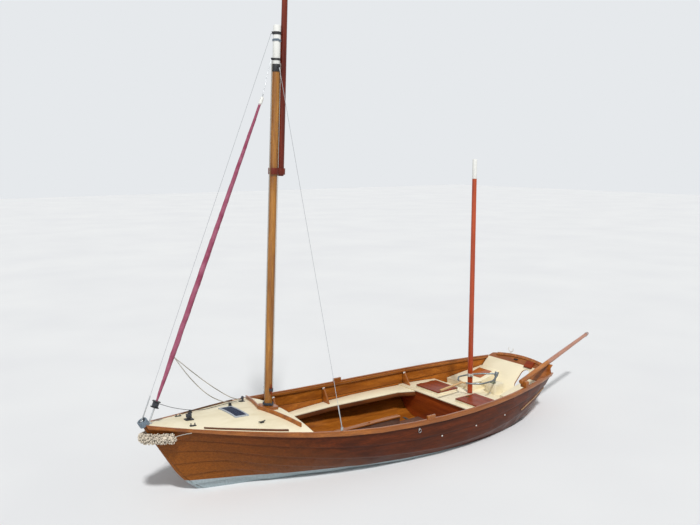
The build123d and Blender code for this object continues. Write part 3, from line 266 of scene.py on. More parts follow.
@dataclass(frozen=True)
class Planking(VarnishedWood):
    """Varnished planks, with antifouling paint outside below a line that rises to the bow.

    The outside is dark brown mahogany, its darkness partly painted shade, and gold low at the bow
    as painted sunlight; the inside is orange; painted shade darkens the corners of the laps; and the
    paint is chalky with upright runs.
    """

    # Gold low at the bow: painted sunlight.
    bow: str = "9A5A1A"
    # Inside colours: lighter than the outside planks, whose darker colours partly carry painted shade.
    inside_light: str = "B26A22"
    inside_dark: str = "7E420F"
    # Colour of the painted shade in the laps' corners.
    lap_shade: str = "170B05"
    paint: str = "A7B4B8"
    paint_stain: str = "7C8B8E"
    line_height: float = 0.045
    line_rise: float = 0.036
    # How far the painted lap shade looks for nearby planks.
    lap_shade_reach: float = 0.022
    # How fast the painted sunlight at the bow fades with height.
    sunlit_rake: float = -2.0

    def outside(self, tree: Tree, spot: Node, normal: Socket) -> Socket:
        """One on the skin's outer faces and zero on its inner ones.

        Args:
            tree: the node tree.
            spot: the node that gives the place's x, y and z.
            normal: the surface's normal.

        Returns:
            The share.
        """
        facing = add_node(tree, "ShaderNodeSeparateXYZ", None, {0: normal})
        across = {0: spot.outputs[1], 1: facing.outputs[1]}
        away = add_node(tree, "ShaderNodeMath", {"operation": "MULTIPLY"}, across).outputs[0]
        step = {"Value": away, "From Min": -0.002, "From Max": 0.002}
        return add_node(tree, "ShaderNodeMapRange", None, step).outputs[0]

    def topsides(self, tree: Tree, coords: Socket, spot: Node) -> Socket:
        """Dark planks, partly painted shade, that turn gold low at the bow as painted sunlight, with the
        grain still drawn over the gold.

        Args:
            tree: the node tree.
            coords: coordinates in metres.
            spot: the node that gives the place's x, y and z.

        Returns:
            The colour.
        """
        # Painted sunlight: gold that grows towards the bow and downwards.
        low_and_fore = {0: spot.outputs[2], 1: self.sunlit_rake, 2: spot.outputs[0]}
        sun = add_node(tree, "ShaderNodeMath", {"operation": "MULTIPLY_ADD"}, low_and_fore).outputs[0]
        deep = self.wood(tree, coords, self.light, self.dark)
        paled = laid_over(tree, sun, 0.1, 2.1, 0.85, deep, srgb(self.bow))
        lines = streaks(tree, coords, self.grain, length_mm=120, width_mm=9)
        return laid_over(tree, lines, 0.4, 0.72, 0.6, paled, srgb(self.dark))

    def painted(self, tree: Tree, spot: Node, outside: Socket) -> Socket:
        """One where the paint covers the planks and zero elsewhere.

        Args:
            tree: the node tree.
            spot: the node that gives the place's x, y and z.
            outside: the share that is one on outer faces.

        Returns:
            The share.
        """
        edge = {0: spot.outputs[0], 1: self.line_rise, 2: self.line_height}
        line = add_node(tree, "ShaderNodeMath", {"operation": "MULTIPLY_ADD"}, edge).outputs[0]
        fall = {0: line, 1: spot.outputs[2]}
        depth = add_node(tree, "ShaderNodeMath", {"operation": "SUBTRACT"}, fall).outputs[0]
        step = {"Value": depth, "From Min": -0.0015, "From Max": 0.0015}
        below = add_node(tree, "ShaderNodeMapRange", None, step).outputs[0]
        return add_node(tree, "ShaderNodeMath", {"operation": "MULTIPLY"}, {0: below, 1: outside}).outputs[0]

    def surface(self, tree: Tree) -> Inputs:
        """Wood outside and inside, painted shade in the laps, and paint below its line.

        Args:
            tree: the node tree.

        Returns:
            The shader's inputs.
        """
        place = add_node(tree, "ShaderNodeTexCoord")
        coords = place.outputs["Object"]
        spot = add_node(tree, "ShaderNodeSeparateXYZ", None, {0: coords})
        outside = self.outside(tree, spot, place.outputs["Normal"])
        # Outside against inside: the outside's darker colours are partly painted shade.
        inner = self.wood(tree, coords, self.inside_light, self.inside_dark)
        both = {0: outside, 6: inner, 7: self.topsides(tree, coords, spot)}
        wood = add_node(tree, "ShaderNodeMix", {"data_type": "RGBA"}, both).outputs[2]
        # Painted shade: the laps' corners darken where ambient occlusion finds nearby planks.
        near = {"Distance": self.lap_shade_reach}
        open_sky = add_node(tree, "ShaderNodeAmbientOcclusion", {"samples": 6}, near).outputs["AO"]
        corner = {0: 1.0, 1: open_sky}
        crevice_shade = add_node(tree, "ShaderNodeMath", {"operation": "SUBTRACT"}, corner).outputs[0]
        dirt_and_shade = laid_over(tree, crevice_shade, 0.18, 0.5, 0.85, wood, srgb(self.lap_shade))
        runs = streaks(tree, coords, Grain.UPRIGHT, length_mm=120, width_mm=14)
        chalk = laid_over(tree, runs, 0.35, 0.75, 0.6, srgb(self.paint), srgb(self.paint_stain))
        painted = self.painted(tree, spot, outside)
        skin = {0: painted, 6: dirt_and_shade, 7: chalk}
        colour = add_node(tree, "ShaderNodeMix", {"data_type": "RGBA"}, skin).outputs[2]
        varnish = self.varnish(tree, coords)
        matt = {0: painted, 2: varnish["Roughness"], 3: 0.75}
        rough = add_node(tree, "ShaderNodeMix", {"data_type": "FLOAT"}, matt).outputs[0]
        clear = {"Value": painted, "To Min": self.coat, "To Max": 0.0}
        coat = add_node(tree, "ShaderNodeMapRange", None, clear).outputs[0]
        return {**varnish, "Base Color": colour, "Roughness": rough, "Coat Weight": coat}


@dataclass(frozen=True)
class HalfWeatheredSpar(VarnishedWood):
    """A spar that keeps its orange varnish inboard; outboard it has gone pink and dull in the weather."""

    kept_light: str = "C47A30"
    kept_dark: str = "8E4E14"
    bare_aft_of: float = -2.95
    kept_ahead_of: float = -2.88

    def surface(self, tree: Tree) -> Inputs:
        """Varnish forward of the transom, bare wood aft of it, with a short worn edge between.

        Args:
            tree: the node tree.

        Returns:
            The shader's inputs.
        """
        coords = add_node(tree, "ShaderNodeTexCoord").outputs["Object"]
        spot = add_node(tree, "ShaderNodeSeparateXYZ", None, {0: coords})
        edge = {"Value": spot.outputs[0], "From Min": self.bare_aft_of, "From Max": self.kept_ahead_of}
        inboard = add_node(tree, "ShaderNodeMapRange", None, edge).outputs[0]
        bare = self.wood(tree, coords, self.light, self.dark)
        kept = self.wood(tree, coords, self.kept_light, self.kept_dark)
        both = {0: inboard, 6: bare, 7: kept}
        colour = add_node(tree, "ShaderNodeMix", {"data_type": "RGBA"}, both).outputs[2]
        return {**self.varnish(tree, coords), "Base Color": colour}


@dataclass(frozen=True)
class PanelledTransom(VarnishedWood):
    """A varnished transom whose inside is enamelled below a varnished band.

    The paint is cream with grime in patches; the band above it and the after face are wood.
    """

    paint: str = "F0E5C6"
    grime: str = "CDBE98"
    paint_top: float = 0.555
    paint_port: float = 0.31
    edge: float = 0.003

    def painted(self, tree: Tree, place: Node) -> Socket:
        """One on the painted field and zero elsewhere.

        Args:
            tree: the node tree.
            place: the node that gives the place and the normal.

        Returns:
            The share.
        """
        spot = add_node(tree, "ShaderNodeSeparateXYZ", None, {0: place.outputs["Object"]})
        facing = add_node(tree, "ShaderNodeSeparateXYZ", None, {0: place.outputs["Normal"]})
        inner = {"Value": facing.outputs[0], "From Min": 0.5, "From Max": 0.52}
        share = add_node(tree, "ShaderNodeMapRange", None, inner).outputs[0]
        for value, full in ((spot.outputs[2], self.paint_top), (spot.outputs[1], self.paint_port)):
            end = {"From Min": full, "From Max": full + self.edge, "To Min": 1.0, "To Max": 0.0}
            within = add_node(tree, "ShaderNodeMapRange", None, {"Value": value, **end}).outputs[0]
            both = {0: share, 1: within}
            share = add_node(tree, "ShaderNodeMath", {"operation": "MULTIPLY"}, both).outputs[0]
        return share

    def surface(self, tree: Tree) -> Inputs:
        """Wood, with the painted field inside.

        Args:
            tree: the node tree.

        Returns:
            The shader's inputs.
        """
        place = add_node(tree, "ShaderNodeTexCoord")
        coords = place.outputs["Object"]
        patches = streaks(tree, coords, Grain.ACROSS, length_mm=420, width_mm=210)
        cream = laid_over(tree, patches, 0.45, 0.8, 0.5, srgb(self.paint), srgb(self.grime))
        wood = self.wood(tree, coords, self.light, self.dark)
        both = {0: self.painted(tree, place), 6: wood, 7: cream}
        colour = add_node(tree, "ShaderNodeMix", {"data_type": "RGBA"}, both).outputs[2]
        return {**self.varnish(tree, coords), "Base Color": colour}


@dataclass(frozen=True)
class BrushedPaint(Finish):
    """Yacht enamel laid on by brush.

    It shows brush lines about 3 mm apart along the work, grime in broad patches, fine grit for
    grip and a soft gloss that scuffs dull where feet go.
    """

    colour: str = "F0E5C6"
    grime: str = "CDBE98"
    grain: Grain = Grain.FORE_AFT
    roughness: float = 0.42
    grit_mm: float = 1.4

    def paint(self, tree: Tree, coords: Socket) -> Inputs:
        """Colour with grime, patchy gloss, brush lines and grit.

        Args:
            tree: the node tree.
            coords: coordinates in metres.

        Returns:
            The shader's inputs for the paint.
        """
        patches = streaks(tree, coords, self.grain, length_mm=420, width_mm=210)
        specks = streaks(tree, coords, self.grain, length_mm=22, width_mm=13)
        dirt_and_shade = laid_over(tree, patches, 0.45, 0.8, 0.55, srgb(self.colour), srgb(self.grime))
        speckled = laid_over(tree, specks, 0.62, 0.8, 0.35, dirt_and_shade, srgb(self.grime))
        low, high = self.roughness - 0.06, self.roughness + 0.16
        span = {"Value": patches, "From Min": 0.3, "From Max": 0.7, "To Min": low, "To Max": high}
        rough = add_node(tree, "ShaderNodeMapRange", None, span).outputs[0]
        fine = {"Vector": coords, "Scale": 1000 / self.grit_mm, "Detail": 1.0}
        grit = add_node(tree, "ShaderNodeTexNoise", None, fine).outputs[0]
        brush = streaks(tree, coords, self.grain, length_mm=140, width_mm=3)
        height = add_node(tree, "ShaderNodeMath", {"operation": "ADD"}, {0: brush, 1: grit}).outputs[0]
        relief = {"Height": height, "Strength": 0.3, "Distance": 0.0006}
        bump = add_node(tree, "ShaderNodeBump", None, relief)
        return {"Base Color": speckled, "Roughness": rough, "Normal": bump.outputs[0]}

    def surface(self, tree: Tree) -> Inputs:
        """Paint all over."""
        return self.paint(tree, add_node(tree, "ShaderNodeTexCoord").outputs["Object"])


@dataclass(frozen=True)
class EdgedPaint(BrushedPaint):
    """Enamel above a height and varnished wood below it, as on a bench and the board under its edge."""

    wood: VarnishedWood = VarnishedWood("edge_board", light="8A4F20", dark="55290E")
    edge_height: float = 0.2775
    edge: float = 0.0004

    def surface(self, tree: Tree) -> Inputs:
        """Paint above the edge, wood below it.

        Args:
            tree: the node tree.

        Returns:
            The shader's inputs.
        """
        coords = add_node(tree, "ShaderNodeTexCoord").outputs["Object"]
        spot = add_node(tree, "ShaderNodeSeparateXYZ", None, {0: coords})
        low, high = self.edge_height - self.edge, self.edge_height + self.edge
        step = {"Value": spot.outputs[2], "From Min": low, "From Max": high}
        above = add_node(tree, "ShaderNodeMapRange", None, step).outputs[0]
        paint = self.paint(tree, coords)
        board_under = self.wood.wood(tree, coords, self.wood.light, self.wood.dark)
        both = {0: above, 6: board_under, 7: paint["Base Color"]}
        colour = add_node(tree, "ShaderNodeMix", {"data_type": "RGBA"}, both).outputs[2]
        return {**paint, "Base Color": colour}


@dataclass(frozen=True)
class Metal(Finish):
    """Polished or galvanised metal; the second shows zinc crystals the size of a fingernail."""

    colour: str = "C9CBCC"
    second: str = "A9ACAE"
    roughness: float = 0.28
    spangle_mm: float = 0.0

    def metal(self, tree: Tree, coords: Socket) -> Inputs:
        """Metal colour with fine scratches, or with zinc crystals.

        Args:
            tree: the node tree.
            coords: coordinates in metres.

        Returns:
            The shader's inputs for the metal.
        """
        if self.spangle_mm:
            crystals = {"Vector": coords, "Scale": 1000 / self.spangle_mm}
            cells = add_node(tree, "ShaderNodeTexVoronoi", None, crystals)
            tone = add_node(tree, "ShaderNodeSeparateXYZ", None, {0: cells.outputs[1]}).outputs[0]
        else:
            tone = streaks(tree, coords, Grain.UPRIGHT, length_mm=40, width_mm=1.5)
        low, high = self.roughness - 0.08, self.roughness + 0.12
        span = {"Value": tone, "From Min": 0.2, "From Max": 0.8, "To Min": low, "To Max": high}
        rough = add_node(tree, "ShaderNodeMapRange", None, span).outputs[0]
        colour = laid_over(tree, tone, 0.0, 1.0, 1.0, srgb(self.colour), srgb(self.second))
        return {"Base Color": colour, "Metallic": 1.0, "Roughness": rough}

    def surface(self, tree: Tree) -> Inputs:
        """Metal all over."""
        return self.metal(tree, add_node(tree, "ShaderNodeTexCoord").outputs["Object"])


@dataclass(frozen=True)
class HandledMetal(Metal):
    """A galvanised yoke whose handle, forward of the loop, is pale varnished ash."""

    handle: VarnishedWood = VarnishedWood("ash_handle", light="D9B98A", dark="B68A55", streak_mm=4.0)
    handle_from: float = -1.715

    def surface(self, tree: Tree) -> Inputs:
        """Metal aft of the handle, wood from there forward.

        Args:
            tree: the node tree.

        Returns:
            The shader's inputs.
        """
        coords = add_node(tree, "ShaderNodeTexCoord").outputs["Object"]
        spot = add_node(tree, "ShaderNodeSeparateXYZ", None, {0: coords})
        step = {"Value": spot.outputs[0], "From Min": self.handle_from, "From Max": self.handle_from + 0.001}
        ahead = add_node(tree, "ShaderNodeMapRange", None, step).outputs[0]
        metal = self.metal(tree, coords)
        wood = self.handle.wood(tree, coords, self.handle.light, self.handle.dark)
        both = {0: ahead, 6: metal["Base Color"], 7: wood}
        colour = add_node(tree, "ShaderNodeMix", {"data_type": "RGBA"}, both).outputs[2]
        shine = add_node(tree, "ShaderNodeMath", {"operation": "SUBTRACT"}, {0: 1.0, 1: ahead}).outputs[0]
        return {**metal, "Base Color": colour, "Metallic": shine}


@dataclass(frozen=True)
class Moulded(Finish):
    """Moulded plastic or enamel on small fittings, rubbed in places, with its mould's fine orange peel."""

    colour: str = "1A1A1C"
    worn: str = "3A3A3C"
    roughness: float = 0.45
    rub_mm: float = 22.2222
    peel_mm: float = 1.42857

    def surface(self, tree: Tree) -> Inputs:
        """Colour with rubbed patches and a fine peel.

        Args:
            tree: the node tree.

        Returns:
            The shader's inputs.
        """
        coords = add_node(tree, "ShaderNodeTexCoord").outputs["Object"]
        broad = {"Vector": coords, "Scale": 1000 / self.rub_mm, "Detail": 4.0}
        rubbed = add_node(tree, "ShaderNodeTexNoise", None, broad).outputs[0]
        low, high = self.roughness - 0.08, self.roughness + 0.15
        span = {"Value": rubbed, "From Min": 0.3, "From Max": 0.7, "To Min": low, "To Max": high}
        rough = add_node(tree, "ShaderNodeMapRange", None, span).outputs[0]
        fine = {"Vector": coords, "Scale": 1000 / self.peel_mm, "Detail": 1.0}
        peel = add_node(tree, "ShaderNodeTexNoise", None, fine).outputs[0]
        bump = add_node(tree, "ShaderNodeBump", None, {"Height": peel, "Strength": 0.2, "Distance": 0.0004})
        colour = laid_over(tree, rubbed, 0.5, 0.75, 0.7, srgb(self.colour), srgb(self.worn))
        return {"Base Color": colour, "Roughness": rough, "Normal": bump.outputs[0]}


@dataclass(frozen=True)
class LaidRope(Finish):
    """Three-strand rope: strands wind round it with painted shade in the grooves between, and loose fibres
    blur its edge.

    The piece's UV map runs round the rope first and along it second, in turns of the lay.
    """

    colour: str = "B9AD9C"
    # Groove colour: painted shade between the strands; fibre noise also mixes it in at random.
    groove: str = "5E554A"
    strands: float = 3.0
    fibre_mm: float = 1.11111

    def surface(self, tree: Tree) -> Inputs:
        """Strands from the UV map, with painted shade in the grooves between them, and fibre noise.

        Args:
            tree: the node tree.

        Returns:
            The shader's inputs.
        """
        place = add_node(tree, "ShaderNodeTexCoord")
        around = add_node(tree, "ShaderNodeSeparateXYZ", None, {0: place.outputs["UV"]})
        wound = {0: around.outputs[0], 1: self.strands, 2: around.outputs[1]}
        lay = add_node(tree, "ShaderNodeMath", {"operation": "MULTIPLY_ADD"}, wound).outputs[0]
        phase = add_node(tree, "ShaderNodeMath", {"operation": "PINGPONG"}, {0: lay, 1: 0.5}).outputs[0]
        height = add_node(tree, "ShaderNodeMapRange", None, {"Value": phase, "From Max": 0.35}).outputs[0]
        fine = {"Vector": place.outputs["Object"], "Scale": 1000 / self.fibre_mm, "Detail": 3.0}
        fibre = add_node(tree, "ShaderNodeTexNoise", None, fine).outputs[0]
        # Painted shade: the groove colour where the strands' height is low.
        base = laid_over(tree, height, 0.0, 1.0, 1.0, srgb(self.groove), srgb(self.colour))
        both = add_node(tree, "ShaderNodeMath", {"operation": "ADD"}, {0: height, 1: fibre}).outputs[0]
        bump = add_node(tree, "ShaderNodeBump", None, {"Height": both, "Strength": 0.7, "Distance": 0.0015})
        colour = laid_over(tree, fibre, 0.45, 0.75, 0.4, base, srgb(self.groove))
        return {"Base Color": colour, "Roughness": 0.85, "Sheen Weight": 0.25, "Normal": bump.outputs[0]}


@dataclass(frozen=True)
class RopeEnds(Finish):
    """Rope ends packed close together: bleached tips, painted shade in the gaps between them, and loose
    fibres.
    """

    tip: str = "DCD0BD"
    stained: str = "A99C88"
    # Colour of the painted shade where the ends crowd each other; reach is how far it looks for them.
    crevice_shade: str = "3E372E"
    reach: float = 0.014
    fibre_mm: float = 2.38095
    patch_mm: float = 26.3158

    def surface(self, tree: Tree) -> Inputs:
        """Stained tips, and painted shade where the ends crowd each other.

        Args:
            tree: the node tree.

        Returns:
            The shader's inputs.
        """
        coords = add_node(tree, "ShaderNodeTexCoord").outputs["Object"]
        fine = {"Vector": coords, "Scale": 1000 / self.fibre_mm, "Detail": 3.0}
        fibre = add_node(tree, "ShaderNodeTexNoise", None, fine).outputs[0]
        broad = {"Vector": coords, "Scale": 1000 / self.patch_mm, "Detail": 2.0}
        patch = add_node(tree, "ShaderNodeTexNoise", None, broad).outputs[0]
        mottled = laid_over(tree, patch, 0.4, 0.7, 0.7, srgb(self.tip), srgb(self.stained))
        # Painted shade: darkened where ambient occlusion finds other ends close by.
        near = {"Distance": self.reach}
        open_sky = add_node(tree, "ShaderNodeAmbientOcclusion", {"samples": 6}, near).outputs["AO"]
        crowd = {0: 1.0, 1: open_sky}
        crowd_shade = add_node(tree, "ShaderNodeMath", {"operation": "SUBTRACT"}, crowd).outputs[0]
        bump = add_node(tree, "ShaderNodeBump", None, {"Height": fibre, "Strength": 0.8, "Distance": 0.0015})
        colour = laid_over(tree, crowd_shade, 0.2, 0.65, 0.95, mottled, srgb(self.crevice_shade))
        return {"Base Color": colour, "Roughness": 0.9, "Sheen Weight": 0.2, "Normal": bump.outputs[0]}


@dataclass(frozen=True)
class Sailcloth(Finish):
    """Woven polyester sailcloth, faded by sun: its 0.5 mm weave is drawn at 1.5 mm so that it shows.

    UV runs round the roll first and along it second, in metres.
    """

    colour: str = "8A3350"
    faded: str = "A65F76"
    head: str = "DAD6D2"
    head_from: float = 3.31
    weave_mm: float = 1.5
    fade_mm: float = 111.111
    crease_mm: Flat = (16.6667, 111.111)

    def surface(self, tree: Tree) -> Inputs:
        """Faded colour, the pale head, weave and creases.

        Args:
            tree: the node tree.

        Returns:
            The shader's inputs.
        """
        place = add_node(tree, "ShaderNodeTexCoord")
        along = add_node(tree, "ShaderNodeSeparateXYZ", None, {0: place.outputs["UV"]}).outputs[1]
        broad = {"Vector": place.outputs["Object"], "Scale": 1000 / self.fade_mm, "Detail": 4.0}
        fade = add_node(tree, "ShaderNodeTexNoise", None, broad).outputs[0]
        dyed = laid_over(tree, fade, 0.35, 0.7, 1.0, srgb(self.colour), srgb(self.faded))
        start, full = self.head_from - 0.01, self.head_from + 0.01
        colour = laid_over(tree, along, start, full, 1.0, dyed, srgb(self.head))
        threads = {"Vector": place.outputs["UV"], "Scale": 1000 / self.weave_mm / (2 * math.pi)}
        warp = add_node(tree, "ShaderNodeTexWave", {"bands_direction": "X"}, threads).outputs[1]
        weft = add_node(tree, "ShaderNodeTexWave", {"bands_direction": "Y"}, threads).outputs[1]
        weave = add_node(tree, "ShaderNodeMath", {"operation": "ADD"}, {0: warp, 1: weft}).outputs[0]
        across, down = self.crease_mm
        stretch = {"Vector": place.outputs["UV"], "Scale": (1000 / across, 1000 / down, 1.0)}
        drawn = add_node(tree, "ShaderNodeMapping", None, stretch).outputs[0]
        folds = {"Vector": drawn, "Scale": 1.0, "Detail": 3.0}
        crease = add_node(tree, "ShaderNodeTexNoise", None, folds).outputs[0]
        relief = {0: crease, 1: 6.0, 2: weave}
        both = add_node(tree, "ShaderNodeMath", {"operation": "MULTIPLY_ADD"}, relief).outputs[0]
        bump = add_node(tree, "ShaderNodeBump", None, {"Height": both, "Strength": 0.5, "Distance": 0.0012})
        return {"Base Color": colour, "Roughness": 0.8, "Sheen Weight": 0.1, "Normal": bump.outputs[0]}


@dataclass(frozen=True)
class SolarCells(Finish):
    """Dark blue silicon cells under clear resin, with thin pale tracks between them."""

    cell: str = "0E1730"
    other_cell: str = "15203C"
    track: str = "5C6674"
    pitch_mm: float = 32.0
    track_mm: float = 0.7

    def surface(self, tree: Tree) -> Inputs:
        """A grid of cells on Object coordinates.

        Args:
            tree: the node tree.

        Returns:
            The shader's inputs.
        """
        coords = add_node(tree, "ShaderNodeTexCoord").outputs["Object"]
        pitch = self.pitch_mm / 1000
        tones = {"Color1": srgb(self.cell), "Color2": srgb(self.other_cell), "Mortar": srgb(self.track)}
        grid = {"Vector": coords, "Scale": 1.0, "Brick Width": pitch, "Row Height": pitch}
        tracks = {"Mortar Size": self.track_mm / 1000}
        cells = add_node(tree, "ShaderNodeTexBrick", {"offset": 0.0}, {**tones, **grid, **tracks})
        return {"Base Color": cells.outputs[0], "Roughness": 0.5, "Specular IOR Level": 0.08}


@dataclass(frozen=True)
class StudioFloor(Finish):
    """Plain pale floor with a very faint mottle."""

    colour: str = "E9EAEA"
    second: str = "E4E5E6"
    mottle_mm: float = 2500.0

    def surface(self, tree: Tree) -> Inputs:
        """A pale colour, hardly mottled.

        Args:
            tree: the node tree.

        Returns:
            The shader's inputs.
        """
        coords = add_node(tree, "ShaderNodeTexCoord").outputs["Object"]
        broad = {"Vector": coords, "Scale": 1000 / self.mottle_mm}
        mottle = add_node(tree, "ShaderNodeTexNoise", None, broad).outputs[0]
        colour = laid_over(tree, mottle, 0.3, 0.7, 1.0, srgb(self.colour), srgb(self.second))
        return {"Base Color": colour, "Roughness": 0.9}


# Mahogany topsides: deep brown, partly painted shade, with painted shade in the laps, painted sunlight as
# gold at the bow, and a chalky blue-grey boot below.
PLANKS = Planking(
    "varnished_mahogany_planks", light="6C2E0C", dark="3E1804", streak_mm=9.0, coat=0.06, specular=0.16
)
# Transom of the same mahogany, cream inside below a varnished band.
TRANSOM = PanelledTransom(
    "panelled_mahogany_transom", light="B06A26", dark="7C3E12", grain=Grain.ACROSS, coat=0.15
)
# Iroko rails and joinery: orange-brown, glossy, with fine dark pores.
RAIL = VarnishedWood("varnished_iroko_rail", light="B46C26", dark="7E4312")
# Rail caps, a little darker from hands and ropes.
CAP = VarnishedWood("varnished_iroko_cap", light="B26A28", dark="844512")
# Red mahogany panels and lids: deep red under a thin, even skin of varnish.
RED_WOOD = VarnishedWood(
    "varnished_red_mahogany", light="A03E10", dark="6C2608", grain=Grain.ACROSS, coat=0.1, specular=0.22
)
# Bulkheads below the thwart: the same wood, made paler as painted light that lifts their shade.
BULKHEAD_WOOD = VarnishedWood("varnished_bulkhead", light="B4541F", dark="84340F", grain=Grain.ACROSS)
# Toe rails and small deck joinery: darker than the other rails.
DARK_WOOD = VarnishedWood("dark_toe_rail", light="7A4A28", dark="4A2A16", roughness=0.4)
# Oiled boards underfoot: dull, greyed by shoes.
SOLE_WOOD = VarnishedWood(
    "oiled_sole_boards", light="7A4A34", dark="472A20", roughness=0.6, coat=0.0, wear=0.3
)
# Varnished pine panel on the starboard quarter: bright orange.
QUARTER_WOOD = VarnishedWood("varnished_quarter_panel", light="C4702A", dark="99480F", roughness=0.3)
# Pale rubbing strips: their pale tone is partly a painted highlight, with patches rubbed bare.
STRIP_WOOD = VarnishedWood(
    "worn_rubbing_strip", light="B9936A", dark="8D6238", roughness=0.5, coat=0.1, wear=0.4
)
# Bilge paint on the floor timbers: flat dark grey-green.
BILGE_PAINT = BrushedPaint("bilge_paint", colour="4D5552", grime="363B39", roughness=0.6)
# Spruce mast: golden, with straight grain up it.
MAST_WOOD = VarnishedSpar("varnished_spruce_mast", light="BE8436", dark="75430F", roughness=0.3)
# Mizzen stained orange-red.
MIZZEN_WOOD = VarnishedSpar("stained_mizzen_mast", light="C4501E", dark="98360E", roughness=0.3)
# Yard stained dark red-brown.
YARD_WOOD = VarnishedSpar("stained_yard", light="80301A", dark="54190D", coat=0.1, specular=0.22)
# Bumkin: ash whose varnish has gone pink and dull in the weather.
BUMKIN_WOOD = HalfWeatheredSpar(
    "weathered_bumkin", light="C48F78", dark="9C6650", grain=Grain.BUMKIN, roughness=0.5, coat=0.1, wear=0.15
)
# Cream deck enamel with grit.
CREAM = BrushedPaint("cream_deck_enamel")
# Benches: cream enamel over a varnished board.
BENCH = EdgedPaint("cream_bench_enamel")
# Smoother cream on boxes and coamings.
CREAM_GLOSS = BrushedPaint("cream_locker_enamel", colour="F1E9CF", grime="D6CBA8", roughness=0.3)
# White enamel on the spars' heads, brushed up and down.
WHITE = BrushedPaint(
    "white_spar_enamel", colour="E9E9E4", grime="C9C9C2", grain=Grain.UPRIGHT, roughness=0.28
)
# Stainless steel rigging and fittings.
STEEL = Metal("satin_stainless_steel")
# Hot-dip zinc on the plate and rudder.
ZINC = Metal("galvanised_steel", colour="8D9395", second="6F7678", roughness=0.5, spangle_mm=9.0)
# The tiller's zinc yoke and ash handle.
YOKE = HandledMetal("galvanised_yoke", colour="8D9395", second="6F7678", roughness=0.5, spangle_mm=9.0)
# Bronze gone brown on hinges and screws.
BRONZE = Metal("dull_bronze", colour="8A6A3C", second="5E4524", roughness=0.45)
# Black nylon cleats, bollard and drum.
BLACK = Moulded("black_moulded_nylon")
# White nylon buttons and rowlock.
NYLON = Moulded("white_moulded_nylon", colour="E4E4DE", worn="BFBEB6", roughness=0.4)
# Grey anodised edge of the solar panel.
FRAME_GREY = Moulded("grey_panel_edge", colour="A9AFB6", worn="868C94", roughness=0.5)
# Grey-green enamel on the trunk's fitting.
GREY_GREEN = Moulded("grey_green_enamel", colour="8B937C", worn="6A705E", roughness=0.45)
# Bleached manila ends of the fender: shaggy, nearly white at the tips, with painted shade, nearly black,
# between them.
ROPE_ENDS = RopeEnds("bleached_manila_ends")
# Grey-white polyester sheets and halyards.
SHEET_ROPE = LaidRope("grey_polyester_rope", colour="C2BDB2", groove="7E7A70")
# White lashing on the mizzen mast.
WHITE_ROPE = LaidRope("white_lashing_rope", colour="E2DFD6", groove="98948A")
# Blue-grey lashing at the stem head.
BLUE_ROPE = LaidRope("blue_grey_rope", colour="8797A5", groove="3F4A55")
# Dark furling line and lashings.
DARK_ROPE = LaidRope("dark_rope", colour="3B3F48", groove="17191D")
# Dusty pink jib.
CLOTH = Sailcloth("furled_sailcloth")
# Solar panel.
CELLS = SolarCells("solar_cells")


def smoothed(mesh: Mesh, angle: float = 32.0) -> Mesh:
    """Shades a mesh smooth, with edges kept sharp past an angle.

    Args:
        mesh: the mesh, changed in place.
        angle: the least angle of a sharp edge, in degrees.

    Returns:
        The same mesh.
    """
    shaped = bmesh.new()
    shaped.from_mesh(mesh)
    limit = math.radians(angle)
    for face in shaped.faces:
        face.smooth = True
    for edge in shaped.edges:
        edge.smooth = len(edge.link_faces) == 2 and edge.calc_face_angle(0.0) < limit
    shaped.to_mesh(mesh)
    shaped.free()
    return mesh


def placed(name: str, mesh: Mesh, finish: Finish, body: str) -> bpy.types.Object:
    """Puts a finished mesh in the scene, on its body.

    Args:
        name: the piece's name.
        mesh: its mesh, in the frame's own metres.
        finish: its finish.
        body: the body that it rides on.

    Returns:
        The object.
    """
    made = bpy.data.objects.new(name, mesh)
    bpy.context.scene.collection.objects.link(made)
    mesh.materials.clear()
    mesh.materials.append(finish.material())
    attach(made, body)
    log.info("%s on %s: %d faces", name, body, len(mesh.polygons))
    return made


def from_bmesh(name: str, shaped: bmesh.types.BMesh) -> Mesh:
    """Turns a bmesh into a mesh with outward normals, and frees it.

    Args:
        name: the mesh's name.
        shaped: the bmesh, which is freed.

    Returns:
        The mesh.
    """
    bmesh.ops.remove_doubles(shaped, verts=shaped.verts, dist=1e-6)
    bmesh.ops.recalc_face_normals(shaped, faces=shaped.faces)
    mesh = bpy.data.meshes.new(name)
    shaped.to_mesh(mesh)
    shaped.free()
    return mesh


def plain_mesh(obj: bpy.types.Object) -> Mesh:
    """The mesh of an object with its modifiers applied."""
    graph = bpy.context.evaluated_depsgraph_get()
    return bpy.data.meshes.new_from_object(obj.evaluated_get(graph))


def dressed_copy(node: str, finish: Finish, soften_mm: float = 1.2) -> bpy.types.Object:
    """A copy of a CAD node with joined, softened edges, which stands for it.

    Args:
        node: the CAD node.
        finish: its finish.
        soften_mm: the radius of its worn edges.

    Returns:
        The piece.
    """
    shaped = bmesh.new()
    shaped.from_mesh(frame["nodes"][node].data)
    bmesh.ops.remove_doubles(shaped, verts=shaped.verts, dist=2e-6)
    flat = math.radians(0.4)
    whole = {"verts": shaped.verts, "edges": shaped.edges}
    bmesh.ops.dissolve_limit(shaped, angle_limit=flat, use_dissolve_boundaries=False, **whole)
    mesh = bpy.data.meshes.new(node + "_dressed")
    shaped.to_mesh(mesh)
    shaped.free()
    holder = bpy.data.objects.new(node + "_dressed_source", mesh)
    bpy.context.scene.collection.objects.link(holder)
    worn = holder.modifiers.new("worn_edges", "BEVEL")
    worn.width = soften_mm / 1000
    worn.segments = 2
    worn.limit_method = "ANGLE"
    worn.angle_limit = math.radians(40)
    finished = plain_mesh(holder)
    bpy.data.objects.remove(holder)
    piece = placed(node + "_dressed", smoothed(finished), finish, body_of(node))
    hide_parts(node)
    return piece


def body_of(node: str) -> str:
    """The body that a CAD node belongs to."""
    bodies = frame["record"]["behaviour"]["bodies"]
    return next(body for body, members in bodies.items() if node in members)


